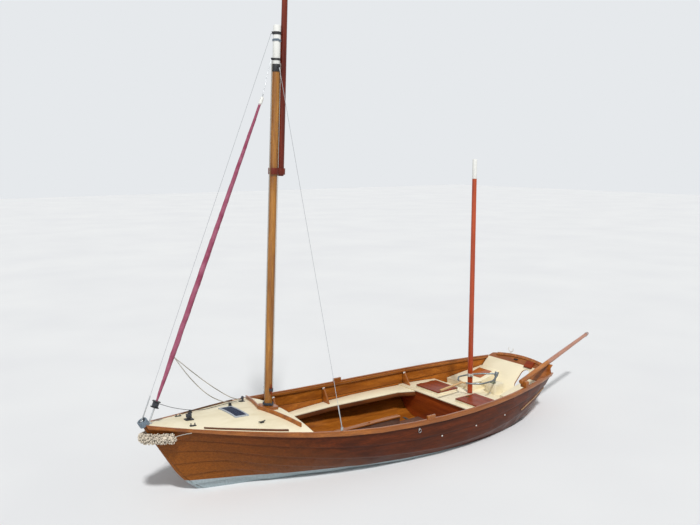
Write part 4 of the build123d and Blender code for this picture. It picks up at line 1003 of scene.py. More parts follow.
def tube(name: str, path: Points, radius: float, sides: int = 10, lay: float = 4.0) -> Mesh:
    """A round tube along a line of points, with a UV map that runs round it and along it.

    Args:
        name: the mesh's name.
        path: the points of its middle.
        radius: its radius.
        sides: faces round it.
        lay: turns of the rope's lay for each ten radii.

    Returns:
        The mesh.
    """
    shaped = bmesh.new()
    layer = shaped.loops.layers.uv.new("UVMap")
    rings: list[list[bmesh.types.BMVert]] = []
    distances = [0.0]
    side = None
    for index, point in enumerate(path):
        ahead = path[min(index + 1, len(path) - 1)]
        behind = path[max(index - 1, 0)]
        along = (ahead - behind).normalized()
        if side is None:
            side = along.orthogonal().normalized()
        side = (side - along * side.dot(along)).normalized()
        up = along.cross(side)
        ring = []
        for step in range(sides):
            turn = 2 * math.pi * step / sides
            ring.append(shaped.verts.new(point + (side * math.cos(turn) + up * math.sin(turn)) * radius))
        rings.append(ring)
        if index:
            distances.append(distances[-1] + (point - path[index - 1]).length)
    for index in range(len(rings) - 1):
        low, high = rings[index], rings[index + 1]
        for step in range(sides):
            corners = (low[step], low[(step + 1) % sides], high[(step + 1) % sides], high[step])
            face = shaped.faces.new(corners)
            turns = (step / sides, (step + 1) / sides, (step + 1) / sides, step / sides)
            lengths = (distances[index], distances[index], distances[index + 1], distances[index + 1])
            for loop, turn, length in zip(face.loops, turns, lengths):
                loop[layer].uv = (turn, length / (10 * radius) * lay)
    shaped.faces.new(list(reversed(rings[0])))
    shaped.faces.new(rings[-1])
    mesh = bpy.data.meshes.new(name)
    bmesh.ops.recalc_face_normals(shaped, faces=shaped.faces)
    shaped.to_mesh(mesh)
    shaped.free()
    return smoothed(mesh, 50)


def bent(points: Points, steps: int = 8) -> Points:
    """A smooth line through points, for tubes of rope.

    Args:
        points: the points it passes.
        steps: how many points it has on each run.

    Returns:
        The points of the smooth line.
    """
    line = []
    padded = [points[0] * 2 - points[1], *points, points[-1] * 2 - points[-2]]
    for a, b, c, d in zip(padded, padded[1:], padded[2:], padded[3:]):
        for step in range(steps):
            t = step / steps
            pull = (2 * a - 5 * b + 4 * c - d) * t * t
            turn = (3 * b - a - 3 * c + d) * t**3
            line.append(0.5 * (2 * b + (c - a) * t + pull + turn))
    line.append(points[-1])
    return line


def lathe(name: str, foot: Vector, head: Vector, outline: list[Flat], sides: int = 32) -> Mesh:
    """A turned piece on the line from foot to head.

    Args:
        name: the mesh's name.
        foot: where the line starts.
        head: where the line points.
        outline: pairs of distance along it and radius.
        sides: faces round it.

    Returns:
        The mesh.
    """
    along = (head - foot).normalized()
    side = along.orthogonal().normalized()
    up = along.cross(side)
    shaped = bmesh.new()
    rings = []
    for distance, radius in outline:
        middle = foot + along * distance
        rings.append(
            [
                shaped.verts.new(middle + (side * math.cos(a) + up * math.sin(a)) * radius)
                for a in (2 * math.pi * step / sides for step in range(sides))
            ]
        )
    for low, high in zip(rings, rings[1:]):
        for step in range(sides):
            shaped.faces.new((low[step], low[(step + 1) % sides], high[(step + 1) % sides], high[step]))
    shaped.faces.new(list(reversed(rings[0])))
    shaped.faces.new(rings[-1])
    return smoothed(from_bmesh(name, shaped), 35)


def turns_round(
    middle: Vector, axis: Vector, radius: float, turns: float, pitch: float, squash: float = 1.0
) -> Points:
    """Points of a rope wound round a post.

    Args:
        middle: where the winding starts, on the post's axis.
        axis: the post's direction.
        radius: the winding's radius.
        turns: how many turns.
        pitch: rise of each turn.
        squash: width of the winding across, as a share of its length.

    Returns:
        The points.
    """
    along = axis.normalized()
    side = PORT if abs(along.y) < 0.9 else FORWARD
    side = (side - along * side.dot(along)).normalized()
    up = along.cross(side)
    line = []
    for step in range(int(turns * 24) + 1):
        angle = step * math.pi / 12
        out = side * math.cos(angle) * squash + up * math.sin(angle)
        line.append(middle + along * (pitch * step / 24) + out * radius)
    return line


def hoop(middle: Vector, across: Vector, up: Vector, sides: int = 24) -> Points:
    """A ring of points that ends where it starts.

    Args:
        middle: its middle.
        across: from the middle to one side.
        up: from the middle to where the ring starts.
        sides: steps round it.

    Returns:
        The points.
    """
    turns = [2 * math.pi * step / sides for step in range(sides + 1)]
    return [middle + across * math.sin(turn) + up * math.cos(turn) for turn in turns]


def joined(name: str, meshes: list[Mesh]) -> Mesh:
    """One mesh out of several.

    Args:
        name: the mesh's name.
        meshes: the meshes, which are removed.

    Returns:
        The mesh.
    """
    shaped = bmesh.new()
    for mesh in meshes:
        shaped.from_mesh(mesh)
        bpy.data.meshes.remove(mesh)
    whole = bpy.data.meshes.new(name)
    shaped.to_mesh(whole)
    shaped.free()
    return whole


def rounded_block(name: str, low: Vector, high: Vector, radius: float) -> Mesh:
    """A block with rounded edges between two corners.

    Args:
        name: the mesh's name.
        low: its lowest corner.
        high: its highest corner.
        radius: its edges' radius.

    Returns:
        The mesh.
    """
    shaped = bmesh.new()
    bmesh.ops.create_cube(shaped, size=1.0)
    middle = (low + high) / 2
    size = high - low
    bmesh.ops.scale(shaped, vec=size, verts=shaped.verts)
    rounding = {"segments": 3, "profile": 0.5, "affect": "EDGES", "clamp_overlap": True}
    bmesh.ops.bevel(shaped, geom=shaped.edges, offset=radius, **rounding)
    bmesh.ops.translate(shaped, vec=middle, verts=shaped.verts)
    return smoothed(from_bmesh(name, shaped), 40)


def grown(source: Mesh, tree: Tree, wanted: dict[str, object]) -> Mesh:
    """The plain mesh that a geometry tree makes of a source mesh.

    Args:
        source: the mesh that the tree starts from.
        tree: the geometry tree.
        wanted: values of its named inputs.

    Returns:
        The mesh.
    """
    holder = bpy.data.objects.new(tree.name + "_holder", source)
    bpy.context.scene.collection.objects.link(holder)
    modifier = holder.modifiers.new("grown", "NODES")
    modifier.node_group = tree
    for item in tree.interface.items_tree:
        if item.in_out == "INPUT" and item.name in wanted:
            modifier[item.identifier] = wanted[item.name]
    mesh = plain_mesh(holder)
    bpy.data.objects.remove(holder)
    return mesh


def board(name: str, corners: list[Vector], thickness: float, radius: float = 0.002) -> Mesh:
    """A flat board with eased edges on four corners.

    Args:
        name: the mesh's name.
        corners: the corners of its underside, in order round it.
        thickness: its thickness, upwards.
        radius: its edges' radius.

    Returns:
        The mesh.
    """
    up = (corners[1] - corners[0]).cross(corners[2] - corners[1]).normalized()
    up = up if up.z > 0 else -up
    shaped = bmesh.new()
    low = [shaped.verts.new(corner) for corner in corners]
    high = [shaped.verts.new(corner + up * thickness) for corner in corners]
    shaped.faces.new(low)
    shaped.faces.new(high)
    for a in range(4):
        shaped.faces.new((low[a], low[(a + 1) % 4], high[(a + 1) % 4], high[a]))
    bmesh.ops.recalc_face_normals(shaped, faces=shaped.faces)
    easing = {"segments": 2, "profile": 0.5, "affect": "EDGES", "clamp_overlap": True}
    bmesh.ops.bevel(shaped, geom=shaped.edges[:], offset=radius, **easing)
    return smoothed(from_bmesh(name, shaped), 40)


def cleat(foot: Vector, along: Vector, size: float) -> list[Mesh]:
    """A two-horned cleat on a level deck.

    Args:
        foot: the middle of its underside.
        along: the way that its horns point.
        size: its length.

    Returns:
        Its meshes.
    """
    reach = along.normalized() * size / 2
    base = Vector((max(abs(reach.x) * 0.5, size * 0.1), max(abs(reach.y) * 0.5, size * 0.1), 0))
    rises = ((-1, 0.26), (-0.5, 0.2), (0.5, 0.2), (1, 0.26))
    horns = [foot + reach * share + UP * size * height for share, height in rises]
    low, high = foot - base - UP * 0.001, foot + base + UP * size * 0.22
    return [rounded_block("cleat_foot", low, high, size * 0.05), tube("cleat_horn", horns, size * 0.07, 10)]


def geometry_tree(name: str, inputs: dict[str, str]) -> tuple[Tree, Node]:
    """A new geometry tree with named inputs.

    Args:
        name: the tree's name.
        inputs: each input's name and the kind of its value.

    Returns:
        The tree, and the node that gives its inputs.
    """
    made = bpy.data.node_groups.new(name, "GeometryNodeTree")
    for socket, kind in inputs.items():
        made.interface.new_socket(socket, in_out="INPUT", socket_type="NodeSocket" + kind)
    made.interface.new_socket("Geometry", in_out="OUTPUT", socket_type="NodeSocketGeometry")
    return made, add_node(made, "NodeGroupInput")


def end_tree(tree: Tree, shape: Socket, smooth: bool, finish: Socket) -> None:
    """Ends a geometry tree: real geometry, its shading and its finish.

    Args:
        tree: the geometry tree.
        shape: the geometry so far.
        smooth: whether it is shaded smooth.
        finish: its material.
    """
    real = add_node(tree, "GeometryNodeRealizeInstances", None, {"Geometry": shape})
    shading = {"Geometry": real.outputs[0], "Shade Smooth": smooth}
    shaded = add_node(tree, "GeometryNodeSetShadeSmooth", None, shading)
    dressing = {"Geometry": shaded.outputs[0], "Material": finish}
    dressed = add_node(tree, "GeometryNodeSetMaterial", None, dressing)
    add_node(tree, "NodeGroupOutput", None, {"Geometry": dressed.outputs[0]})


class FastenerKind(Enum):
    """What is set along a line."""

    SCREW = "screw"
    BUNG = "bung"
    SLAT = "slat"


@dataclass
class FastenerRow:
    """Like pieces set along a line by Geometry Nodes, such as screw heads, bungs and louvre slats."""

    name: str
    kind: FastenerKind
    spacing: float
    size: Place

    def tree(self) -> Tree:
        """The node tree that sets the pieces, with its sizes as named inputs.

        Returns:
            The tree.
        """
        inputs = {"Line": "Geometry", "Spacing": "Float", "Size": "Vector", "Finish": "Material"}
        made, start = geometry_tree(self.name + "_nodes", inputs)
        line = add_node(made, "GeometryNodeMeshToCurve", None, {"Mesh": start.outputs["Line"]})
        spacing = {"Curve": line.outputs[0], "Length": start.outputs["Spacing"]}
        spaced = add_node(made, "GeometryNodeResampleCurve", {"mode": "LENGTH"}, spacing)
        if self.kind is FastenerKind.SLAT:
            one = add_node(made, "GeometryNodeMeshCube", None, {"Size": (1.0, 1.0, 1.0)})
        else:
            dome = {"Segments": 12, "Rings": 6, "Radius": 0.5}
            one = add_node(made, "GeometryNodeMeshUVSphere", None, dome)
        places = {"Points": spaced.outputs[0], "Instance": one.outputs[0], "Scale": start.outputs["Size"]}
        set_out = add_node(made, "GeometryNodeInstanceOnPoints", None, places)
        end_tree(made, set_out.outputs[0], self.kind is not FastenerKind.SLAT, start.outputs["Finish"])
        return made

    def mesh(self, lines: list[Points], finish: Finish) -> Mesh:
        """The pieces set along some lines.

        Args:
            lines: each line's points.
            finish: the pieces' finish.

        Returns:
            A plain mesh.
        """
        source = bpy.data.meshes.new(self.name + "_lines")
        corners = [point for line in lines for point in line]
        edges = []
        first = 0
        for line in lines:
            edges += [(first + i, first + i + 1) for i in range(len(line) - 1)]
            first += len(line)
        source.from_pydata(corners, edges, [])
        wanted = {"Spacing": self.spacing, "Size": self.size, "Finish": finish.material()}
        return grown(source, self.tree(), wanted)


@dataclass
class Surface:
    """CAD nodes as one surface that pieces are set against."""

    nodes: list[str]
    tree: BVHTree = field(init=False)

    def __post_init__(self) -> None:
        """Gathers the nodes' triangles."""
        corners: list[Vector] = []
        faces: list[tuple[int, ...]] = []
        for node in self.nodes:
            mesh = frame["nodes"][node].data
            first = len(corners)
            corners += [v.co.copy() for v in mesh.vertices]
            faces += [tuple(first + i for i in p.vertices) for p in mesh.polygons]
        self.tree = BVHTree.FromPolygons(corners, faces)

    def hit(self, start: Place, way: Place | Vector) -> tuple[Vector, Vector]:
        """The first point of the surface along a line, and the way it faces.

        Args:
            start: where the line starts.
            way: where it goes.

        Returns:
            The point and its normal.
        """
        point, normal, _, _ = self.tree.ray_cast(Vector(start), Vector(way))
        if point is None:
            raise ValueError(f"nothing of {self.nodes} lies along {way} from {start}")
        return point, normal


@dataclass
class Hull:
    """Planking, backbone and rails, with the small fittings on the topsides."""

    button_places: tuple[Flat, ...] = ((-0.46, 0.27), (-1.04, 0.27), (-1.62, 0.27))
    button: tuple[Flat, ...] = ((-0.001, 0.009), (0.004, 0.009), (0.008, 0.005), (0.0085, 0.001))
    ring_place: Flat = (-0.1, 0.43)
    ring_foot: tuple[Flat, ...] = ((-0.001, 0.014), (0.003, 0.013), (0.005, 0.006), (0.006, 0.001))
    ring_r: float = 0.02
    ring_wire_r: float = 0.0028
    ring_off: float = 0.009
    knee_x: tuple[float, ...] = (0.82, -0.02, -1.41)
    knee_head: Place = (0.034, 0.026, 0.024)
    strip_ends: tuple[Flat, Flat] = ((-2.02, 0.235), (-2.68, 0.375))
    strip_r: float = 0.0075
    strip_steps: int = 13
    rail_aft: float = -2.7
    rail_step: float = 0.195
    rail_steps: int = 27
    bung_spacing: float = 0.18
    bung_size: Place = (0.011, 0.011, 0.0016)

    def build(self) -> None:
        """Makes every piece of the hull."""
        for node in ("bottom_strakes", "side_strakes", "sheer_strakes", "keel", "stem"):
            dressed_copy(node, PLANKS)
        dressed_copy("transom", TRANSOM)
        for node in ("rub_rails", "inwales", "breakwater", "mast_partner", "transom_trim", "bench_knees",
                     "bumkin_chocks", "rowlock_chocks", "apron", "deck_beams"):
            dressed_copy(node, RAIL)
        dressed_copy("toe_rails", DARK_WOOD)
        dressed_copy("rail_caps", CAP, 3.0)
        self.fittings()
        self.knee_heads()
        self.strips()
        self.bungs()

    def fittings(self) -> None:
        """Buttons and ring eyes on the topsides, both sides alike."""
        skin = Surface(["side_strakes", "sheer_strakes"])
        buttons = []
        rings = []
        for hand in (1, -1):
            for x, z in self.button_places:
                point, normal = skin.hit((x, 2 * hand, z), (0, -hand, 0))
                buttons.append(lathe("button", point, point + normal, self.button, 20))
            x, z = self.ring_place
            point, normal = skin.hit((x, 2 * hand, z), (0, -hand, 0))
            rings.append(lathe("ring_foot", point, point + normal, self.ring_foot, 20))
            middle = point + normal * self.ring_off - UP * self.ring_r
            round_eye = hoop(middle, FORWARD * self.ring_r, UP * self.ring_r)
            rings.append(tube("ring", round_eye, self.ring_wire_r, 8))
        placed("topside_buttons", joined("topside_buttons", buttons), NYLON, "hull")
        placed("ring_eyes", joined("ring_eyes", rings), STEEL, "hull")

    def knee_heads(self) -> None:
        """Pale pads on the heads of the bench knees."""
        corners = [v.co for v in frame["nodes"]["bench_knees"].data.vertices]
        half = Vector(self.knee_head) / 2
        pads = []
        for hand in (1, -1):
            for x in self.knee_x:
                near = [c for c in corners if abs(c.x - x) < 0.06 and c.y * hand > 0]
                top = max(c.z for c in near)
                head = [c for c in near if c.z > top - 0.02]
                middle = sum(head, Vector()) / len(head)
                place = Vector((middle.x, middle.y - hand * 0.004, top - half.z / 2))
                pads.append(rounded_block("knee_head", place - half, place + half, 0.007))
        placed("knee_heads", joined("knee_heads", pads), NYLON, "hull")

    def strips(self) -> None:
        """A half-round rubbing strip low on each quarter, which follows the skin."""
        skin = Surface(["side_strakes", "bottom_strakes", "sheer_strakes"])
        (x_fore, z_fore), (x_aft, z_aft) = self.strip_ends
        strips = []
        for hand in (1, -1):
            line = []
            for index in range(self.strip_steps + 1):
                share = index / self.strip_steps
                at = (x_fore + (x_aft - x_fore) * share, 2.0 * hand, z_fore + (z_aft - z_fore) * share)
                point, normal = skin.hit(at, (0, -hand, 0))
                line.append(point + normal * self.strip_r * 0.35)
            strips.append(tube("quarter_strip", line, self.strip_r, 12))
        # The strips' pale finish partly paints a highlight along each quarter.
        placed("quarter_strips", joined("quarter_strips", strips), STRIP_WOOD, "hull")

    def bungs(self) -> None:
        """Wooden bungs over the screws of the rail caps, along the middle of each cap."""
        cap = Surface(["rail_caps"])
        lines = []
        for hand in (1, -1):
            line = []
            for index in range(self.rail_steps):
                x = self.rail_aft + index * self.rail_step
                across = [hand * (0.06 + step * 0.005) for step in range(200)]
                struck = [y for y in across if cap.tree.ray_cast(Vector((x, y, 1.5)), -UP)[0] is not None]
                if struck:
                    run = [y for y in struck if abs(y - struck[-1]) < 0.09]
                    line.append(cap.hit((x, (run[0] + run[-1]) / 2, 1.5), -UP)[0])
            lines.append(line)
        row = FastenerRow("rail_bungs", FastenerKind.BUNG, self.bung_spacing, self.bung_size)
        placed("rail_bungs", row.mesh(lines, RED_WOOD), RED_WOOD, "hull")


@dataclass
class Foredeck:
    """Deck at the bow with its solar panel, bollard, fairleads, small deck fittings and lashings."""

    stem_turns: float = 6.0
    stem_rope_r: float = 0.006
    stem_winding_r: float = 0.047
    stem_rake: Place = (0.6, 0.0, 1.0)
    bollard_turns: float = 3.5
    bollard_rope_r: float = 0.0055
    bollard_winding_r: float = 0.0265
    cleat_place: Flat = (1.667, 0.38)
    cleat_along: Place = (1.0, 0.1, 0.0)
    cleat_length: float = 0.085
    block_places: tuple[Flat, Flat] = ((1.69, -0.31), (2.20, -0.27))
    breakwater_end: Flat = (1.385, -0.585)
    end_cleat_along: Place = (0.6, 1.0, 0.0)
    end_cleat_length: float = 0.10
    line_from_drum: tuple[Place, Place] = ((2.685, -0.030, 1.030), (2.45, -0.150, 0.900))
    line_on_deck: tuple[Flat, ...] = ((2.02, -0.325), (1.80, -0.405), (1.58, -0.49))
    line_r: float = 0.003
    line_turns_r: float = 0.0042
    deck: Surface = field(init=False)

    def build(self) -> None:
        """Makes every piece of the foredeck."""
        self.deck = Surface(["foredeck"])
        dressed_copy("foredeck", CREAM)
        frame["nodes"]["solar_frame"].data.materials[0] = FRAME_GREY.material()
        frame["nodes"]["solar_panel"].data.materials[0] = CELLS.material()
        dressed_copy("mooring_bollard", BLACK, 2.0)
        dressed_copy("fairleads", BLACK, 1.0)
        self.lashings()
        self.deck_fittings()
        self.furling_line()

    def on_deck(self, place: Flat, up: float = 0.0) -> Vector:
        """The point of the deck under a place, raised by a height."""
        return self.deck.hit((*place, 1.5), -UP)[0] + UP * up

    def lashings(self) -> None:
        """Rope round the stem head and round the bollard."""
        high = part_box("stem")[1]
        axis = Vector(self.stem_rake)
        start = Vector((high.x - 0.045, 0, high.z - 0.034)) - axis.normalized() * 0.012
        pitch = self.stem_rope_r * 1.9
        winding = turns_round(start, axis, self.stem_winding_r, self.stem_turns, pitch, 0.95)
        placed("stem_lashing", tube("stem_lashing", winding, self.stem_rope_r, 8), BLUE_ROPE, "hull")
        low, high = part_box("mooring_bollard")
        foot = Vector(((low.x + high.x) / 2, 0, low.z + 0.03))
        turns = turns_round(foot, UP, self.bollard_winding_r, self.bollard_turns, 0.0115)
        placed("bollard_rope", tube("bollard_rope", turns, self.bollard_rope_r, 8), DARK_ROPE, "hull")

    def block(self, foot: Vector) -> list[Mesh]:
        """A small block that stands on the deck, with two cheeks and a sheave.

        Args:
            foot: the middle of its foot.

        Returns:
            Its meshes.
        """
        half = Vector((0.022, 0.013, 0))
        meshes = [rounded_block("block_foot", foot - half - UP * 0.003, foot + half + UP * 0.006, 0.003)]
        cheek = [(0, 0.017), (0.002, 0.017), (0.0035, 0.014), (0.004, 0.002)]
        for side in (-1, 1):
            inner = foot + Vector((0, side * 0.007, 0.021))
            meshes.append(lathe("cheek", inner, inner + PORT * side, cheek, 24))
        groove = [(0, 0.015), (0.003, 0.011), (0.009, 0.011), (0.012, 0.015)]
        side = foot + Vector((0, -0.006, 0.021))
        meshes.append(lathe("sheave", side, side + PORT, groove, 24))
        return meshes

    def deck_fittings(self) -> None:
        """Two small blocks, and the cleats on the deck and at the breakwater's end."""
        blocks = []
        for place in self.block_places:
            blocks += self.block(self.on_deck(place))
        placed("deck_blocks", joined("deck_blocks", blocks), BLACK, "hull")
        horns = cleat(self.on_deck(self.cleat_place), Vector(self.cleat_along), self.cleat_length)
        horns += cleat(self.on_deck(self.breakwater_end), Vector(self.end_cleat_along), self.end_cleat_length)
        placed("deck_cleats", joined("deck_cleats", horns), BLACK, "hull")

    def furling_line(self) -> None:
        """The furling line, led from the drum over its block and aft along the deck to its cleat."""
        end = self.on_deck(self.breakwater_end)
        line = [Vector(place) for place in self.line_from_drum]
        line.append(self.on_deck(self.block_places[1], 0.036))
        line += [self.on_deck(place, 0.006) for place in self.line_on_deck]
        line.append(end + Vector((0.03, 0.03, 0.016)))
        start = end + Vector((-0.026, -0.04, 0.018))
        made_fast = turns_round(start, Vector(self.end_cleat_along), 0.013, 7.0, 0.0115)
        led = tube("furling_line", bent(line, 6), self.line_r, 8)
        turns = tube("furling_line_turns", made_fast, self.line_turns_r, 8)
        placed("furling_line", joined("furling_line", [led, turns]), DARK_ROPE, "hull")


@dataclass
class Fender:
    """The rope pudding round the stem: a core covered in short rope ends, tied down at both ends."""

    radius: float = 0.031
    density: float = 4600.0
    strand_r: float = 0.0062
    seed: int = 11
    end: Flat = (2.596, 0.194)
    apex_x: float = 2.905
    corner: float = 0.127
    tie_end: Flat = (2.585, 0.200)
    tie_rail: Flat = (2.43, 0.262)
    tie_r: float = 0.004

    def tree(self) -> Tree:
        """The node tree that grows rope ends all over the core.

        Returns:
            The tree.
        """
        inputs = {"Core": "Geometry", "Density": "Float", "Strand Radius": "Float", "Seed": "Int"}
        made, start = geometry_tree("fender_nodes", {**inputs, "Finish": "Material"})
        seed = start.outputs["Seed"]
        spread = {"Mesh": start.outputs["Core"], "Density": start.outputs["Density"], "Seed": seed}
        points = add_node(made, "GeometryNodeDistributePointsOnFaces", None, spread)
        way = {"Start": (0.0, 0.0, -0.004), "Middle": (0.001, 0.0, 0.019), "End": (0.016, 0.0, 0.018)}
        strand = add_node(made, "GeometryNodeCurveQuadraticBezier", None, {"Resolution": 5, **way})
        section = {"Resolution": 7, "Radius": start.outputs["Strand Radius"]}
        ring = add_node(made, "GeometryNodeCurvePrimitiveCircle", None, section)
        solid = {"Curve": strand.outputs[0], "Profile Curve": ring.outputs[0], "Fill Caps": True}
        one = add_node(made, "GeometryNodeCurveToMesh", None, solid)
        turns = {0: (-0.45, -0.45, -math.pi), 1: (0.45, 0.45, math.pi), 8: seed}
        turn = add_node(made, "FunctionNodeRandomValue", {"data_type": "FLOAT_VECTOR"}, turns)
        tilt = add_node(made, "FunctionNodeEulerToRotation", None, {0: turn.outputs[0]})
        local = {"Rotation": points.outputs["Rotation"], "Rotate By": tilt.outputs[0]}
        leaning = add_node(made, "FunctionNodeRotateRotation", {"rotation_space": "LOCAL"}, local)
        sizes = {2: 0.75, 3: 1.15, 8: seed}
        grow = add_node(made, "FunctionNodeRandomValue", {"data_type": "FLOAT"}, sizes)
        places = {"Points": points.outputs[0], "Instance": one.outputs[0]}
        stance = {"Rotation": leaning.outputs[0], "Scale": grow.outputs[1]}
        tufts = add_node(made, "GeometryNodeInstanceOnPoints", None, {**places, **stance})
        both = add_node(made, "GeometryNodeJoinGeometry")
        made.links.new(start.outputs["Core"], both.inputs[0])
        made.links.new(tufts.outputs[0], both.inputs[0])
        end_tree(made, both.outputs[0], True, start.outputs["Finish"])
        return made

    def build(self) -> None:
        """Grows the fender's cover and ties its ends to the rail."""
        low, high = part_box("bow_fender")
        core = self.core((low.z + high.z) / 2)
        values = {"Density": self.density, "Strand Radius": self.strand_r, "Seed": self.seed}
        source = tube("fender_core", core, self.radius, 20, 2.0)
        mesh = grown(source, self.tree(), {**values, "Finish": ROPE_ENDS.material()})
        piece = placed("rope_fender", mesh, ROPE_ENDS, "hull")
        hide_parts("bow_fender")
        self.ties(core[0].z)

    def ties(self, z: float) -> None:
        """The tie from each end of the fender up to the rail.

        Args:
            z: the fender's height.
        """
        ties = []
        for hand in (1, -1):
            end = Vector((self.tie_end[0], hand * self.tie_end[1], z + 0.02))
            rail = Vector((self.tie_rail[0], hand * self.tie_rail[1], z + 0.045))
            line = bent([end, end.lerp(rail, 0.5) + UP * 0.004, rail], 5)
            ties.append(tube("fender_tie", line, self.tie_r, 8))
        placed("fender_ties", joined("fender_ties", ties), SHEET_ROPE, "hull")

    def core(self, z: float) -> Points:
        """The fender's middle line, round the stem.

        Args:
            z: its height.

        Returns:
            Its points.
        """
        end = Vector((*self.end, z))
        apex = Vector((self.apex_x, 0.0, z))
        start = apex - (apex - end).normalized() * self.corner
        mirrored = Vector((start.x, -start.y, z))
        points = [end.lerp(start, i / 12) for i in range(12)]
        for i in range(13):
            t = i / 12
            points.append(start * (1 - t) ** 2 + apex * 2 * t * (1 - t) + mirrored * t * t)
        points += [Vector((p.x, -p.y, z)) for p in reversed(points[:12])]
        return points


@dataclass
class Jib:
    """The jib rolled on its luff wire, its drum, and the two sheets that hang from its clew."""

    foot: Vector = field(default_factory=lambda: Vector((2.783, 0.0, 0.838)))
    head: Vector = field(default_factory=lambda: Vector((1.381, 0.0, 4.195)))
    drum_up: float = 0.17
    drum: float = 0.07
    drum_turns_r: float = 0.032
    swivel: float = 0.084
    swivel_outline: tuple[Flat, ...] = (
        (0.0, 0.012), (0.006, 0.0195), (0.03, 0.021), (0.07, 0.019), (0.082, 0.013), (0.088, 0.007),
    )
    sheet_r: float = 0.005
    clew: Place = (2.483, 0.0, 1.49)
    sheet_runs: tuple[tuple[Place, ...], ...] = (
        ((2.256, -0.103, 1.285), (2.018, -0.211, 1.08), (1.76, -0.329, 0.88),
         (1.569, -0.416, 0.755), (1.45, -0.47, 0.716)),
        ((2.338, -0.066, 1.29), (2.178, -0.139, 1.105), (2.034, -0.204, 0.965), (1.889, -0.27, 0.855),
         (1.703, -0.355, 0.755), (1.558, -0.421, 0.728), (1.462, -0.455, 0.716)),
    )
    lead_foot: tuple[Place, Place] = ((1.425, -0.492, 0.690), (1.485, -0.432, 0.703))
    lead_ring: Place = (1.455, -0.462, 0.716)
    lead_r: float = 0.016
    roll_rows: int = 420
    roll_sides: int = 48
    roll_turns: float = 11.0
    roll_girth: float = 0.19

    def sheets(self) -> None:
        """Two limp sheets that hang from the clew and go down through the deck's side lead."""
        for index, run in enumerate(self.sheet_runs):
            curve = bpy.data.curves.new(f"jib_sheet_{index + 1}", "CURVE")
            curve.dimensions = "3D"
            points = [self.clew, *run]
            spline = curve.splines.new("NURBS")
            spline.points.add(len(points) - 1)
            for corner, place in zip(spline.points, points):
                corner.co = (*place, 1.0)
            spline.order_u = 3
            spline.use_endpoint_u = True
            spline.resolution_u = 8
            curve.bevel_depth = self.sheet_r
            curve.bevel_resolution = 3
            curve.use_fill_caps = True
            curve.materials.append(SHEET_ROPE.material())
            piece = bpy.data.objects.new(f"jib_sheet_{index + 1}", curve)
            bpy.context.scene.collection.objects.link(piece)
            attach(piece, "hull")

    def build(self) -> None:
        """Makes the roll, the drum and its rope, the swivel and the sheets' lead."""
        dressed_copy("furling_drum", BLACK, 1.0)
        self.roll()
        along = (self.head - self.foot).normalized()
        start = self.foot + along * (self.drum_up + 0.014)
        winding = turns_round(start, along, self.drum_turns_r, 7.0, 0.006)
        turns = tube("furling_line_on_drum", winding, 0.003, 8)
        placed("furling_line_on_drum", turns, DARK_ROPE, "jib")
        swivel = lathe("jib_swivel", self.head - along * self.swivel, self.head, self.swivel_outline, 32)
        placed("jib_swivel", swivel, NYLON, "jib")
        low, high = (Vector(corner) for corner in self.lead_foot)
        ring = hoop(Vector(self.lead_ring), UP * self.lead_r, PORT * self.lead_r)
        lead = [rounded_block("lead_foot", low, high, 0.004), tube("lead_ring", ring, 0.004, 10)]
        placed("sheet_lead", joined("sheet_lead", lead), BLACK, "hull")

    def profile(self, share: float, length: float) -> float:
        """Radius of the roll at a share of its length.

        Args:
            share: how far up the roll, from zero to one.
            length: the roll's length.

        Returns:
            The radius.
        """
        foot = [(0.0, 0.010), (0.09 / length, 0.016), (0.15, 0.0275), (0.4, 0.0295)]
        stops = foot + [(0.75, 0.022), (1 - 0.06 / length, 0.0135), (1.0, 0.008)]
        for (a, ra), (b, rb) in zip(stops, stops[1:]):
            if a <= share <= b:
                return ra + (rb - ra) * (share - a) / (b - a)
        return stops[-1][1]

    def reach(self, share: float, turn: float, length: float) -> float:
        """How far the rolled cloth stands off the wire: an edge that spirals up, and soft folds.

        Args:
            share: how far up the roll, from zero to one.
            turn: the angle round it.
            length: the roll's length.

        Returns:
            The distance.
        """
        radius = self.profile(share, length)
        spiral = (turn / (2 * math.pi) - share * self.roll_turns) % 1.0
        edge = 0.09 * (1 - spiral) ** 6
        folds = 0.03 * math.sin(3 * turn + share * 60) + 0.02 * math.sin(7 * turn - share * 95)
        return min(radius * (0.97 + edge + folds), radius * 1.06)

    def roll(self) -> None:
        """The rolled sail, with a UV map in metres round it and along it."""
        along = (self.head - self.foot).normalized()
        start = self.foot + along * (self.drum_up + self.drum + 0.0006)
        length = (self.head - start).length
        up = along.cross(PORT)
        shaped = bmesh.new()
        layer = shaped.loops.layers.uv.new("UVMap")
        rows, sides = self.roll_rows, self.roll_sides
        rings = []
        for row in range(rows + 1):
            share = row / rows
            middle = start + along * length * share
            ring = []
            for step in range(sides):
                turn = 2 * math.pi * step / sides
                out = PORT * math.cos(turn) + up * math.sin(turn)
                ring.append(shaped.verts.new(middle + out * self.reach(share, turn, length)))
            rings.append(ring)
        for row in range(rows):
            low, high = rings[row], rings[row + 1]
            for step in range(sides):
                after = (step + 1) % sides
                face = shaped.faces.new((low[step], low[after], high[after], high[step]))
                corners = ((step, row), (step + 1, row), (step + 1, row + 1), (step, row + 1))
                for loop, (s, r) in zip(face.loops, corners):
                    loop[layer].uv = (s / sides * self.roll_girth, r / rows * length)
        shaped.faces.new(list(reversed(rings[0])))
        shaped.faces.new(rings[-1])
        bmesh.ops.recalc_face_normals(shaped, faces=shaped.faces)
        mesh = bpy.data.meshes.new("rolled_jib")
        shaped.to_mesh(mesh)
        shaped.free()
        piece = placed("rolled_jib", smoothed(mesh, 60), CLOTH, "jib")
        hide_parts("furled_jib")


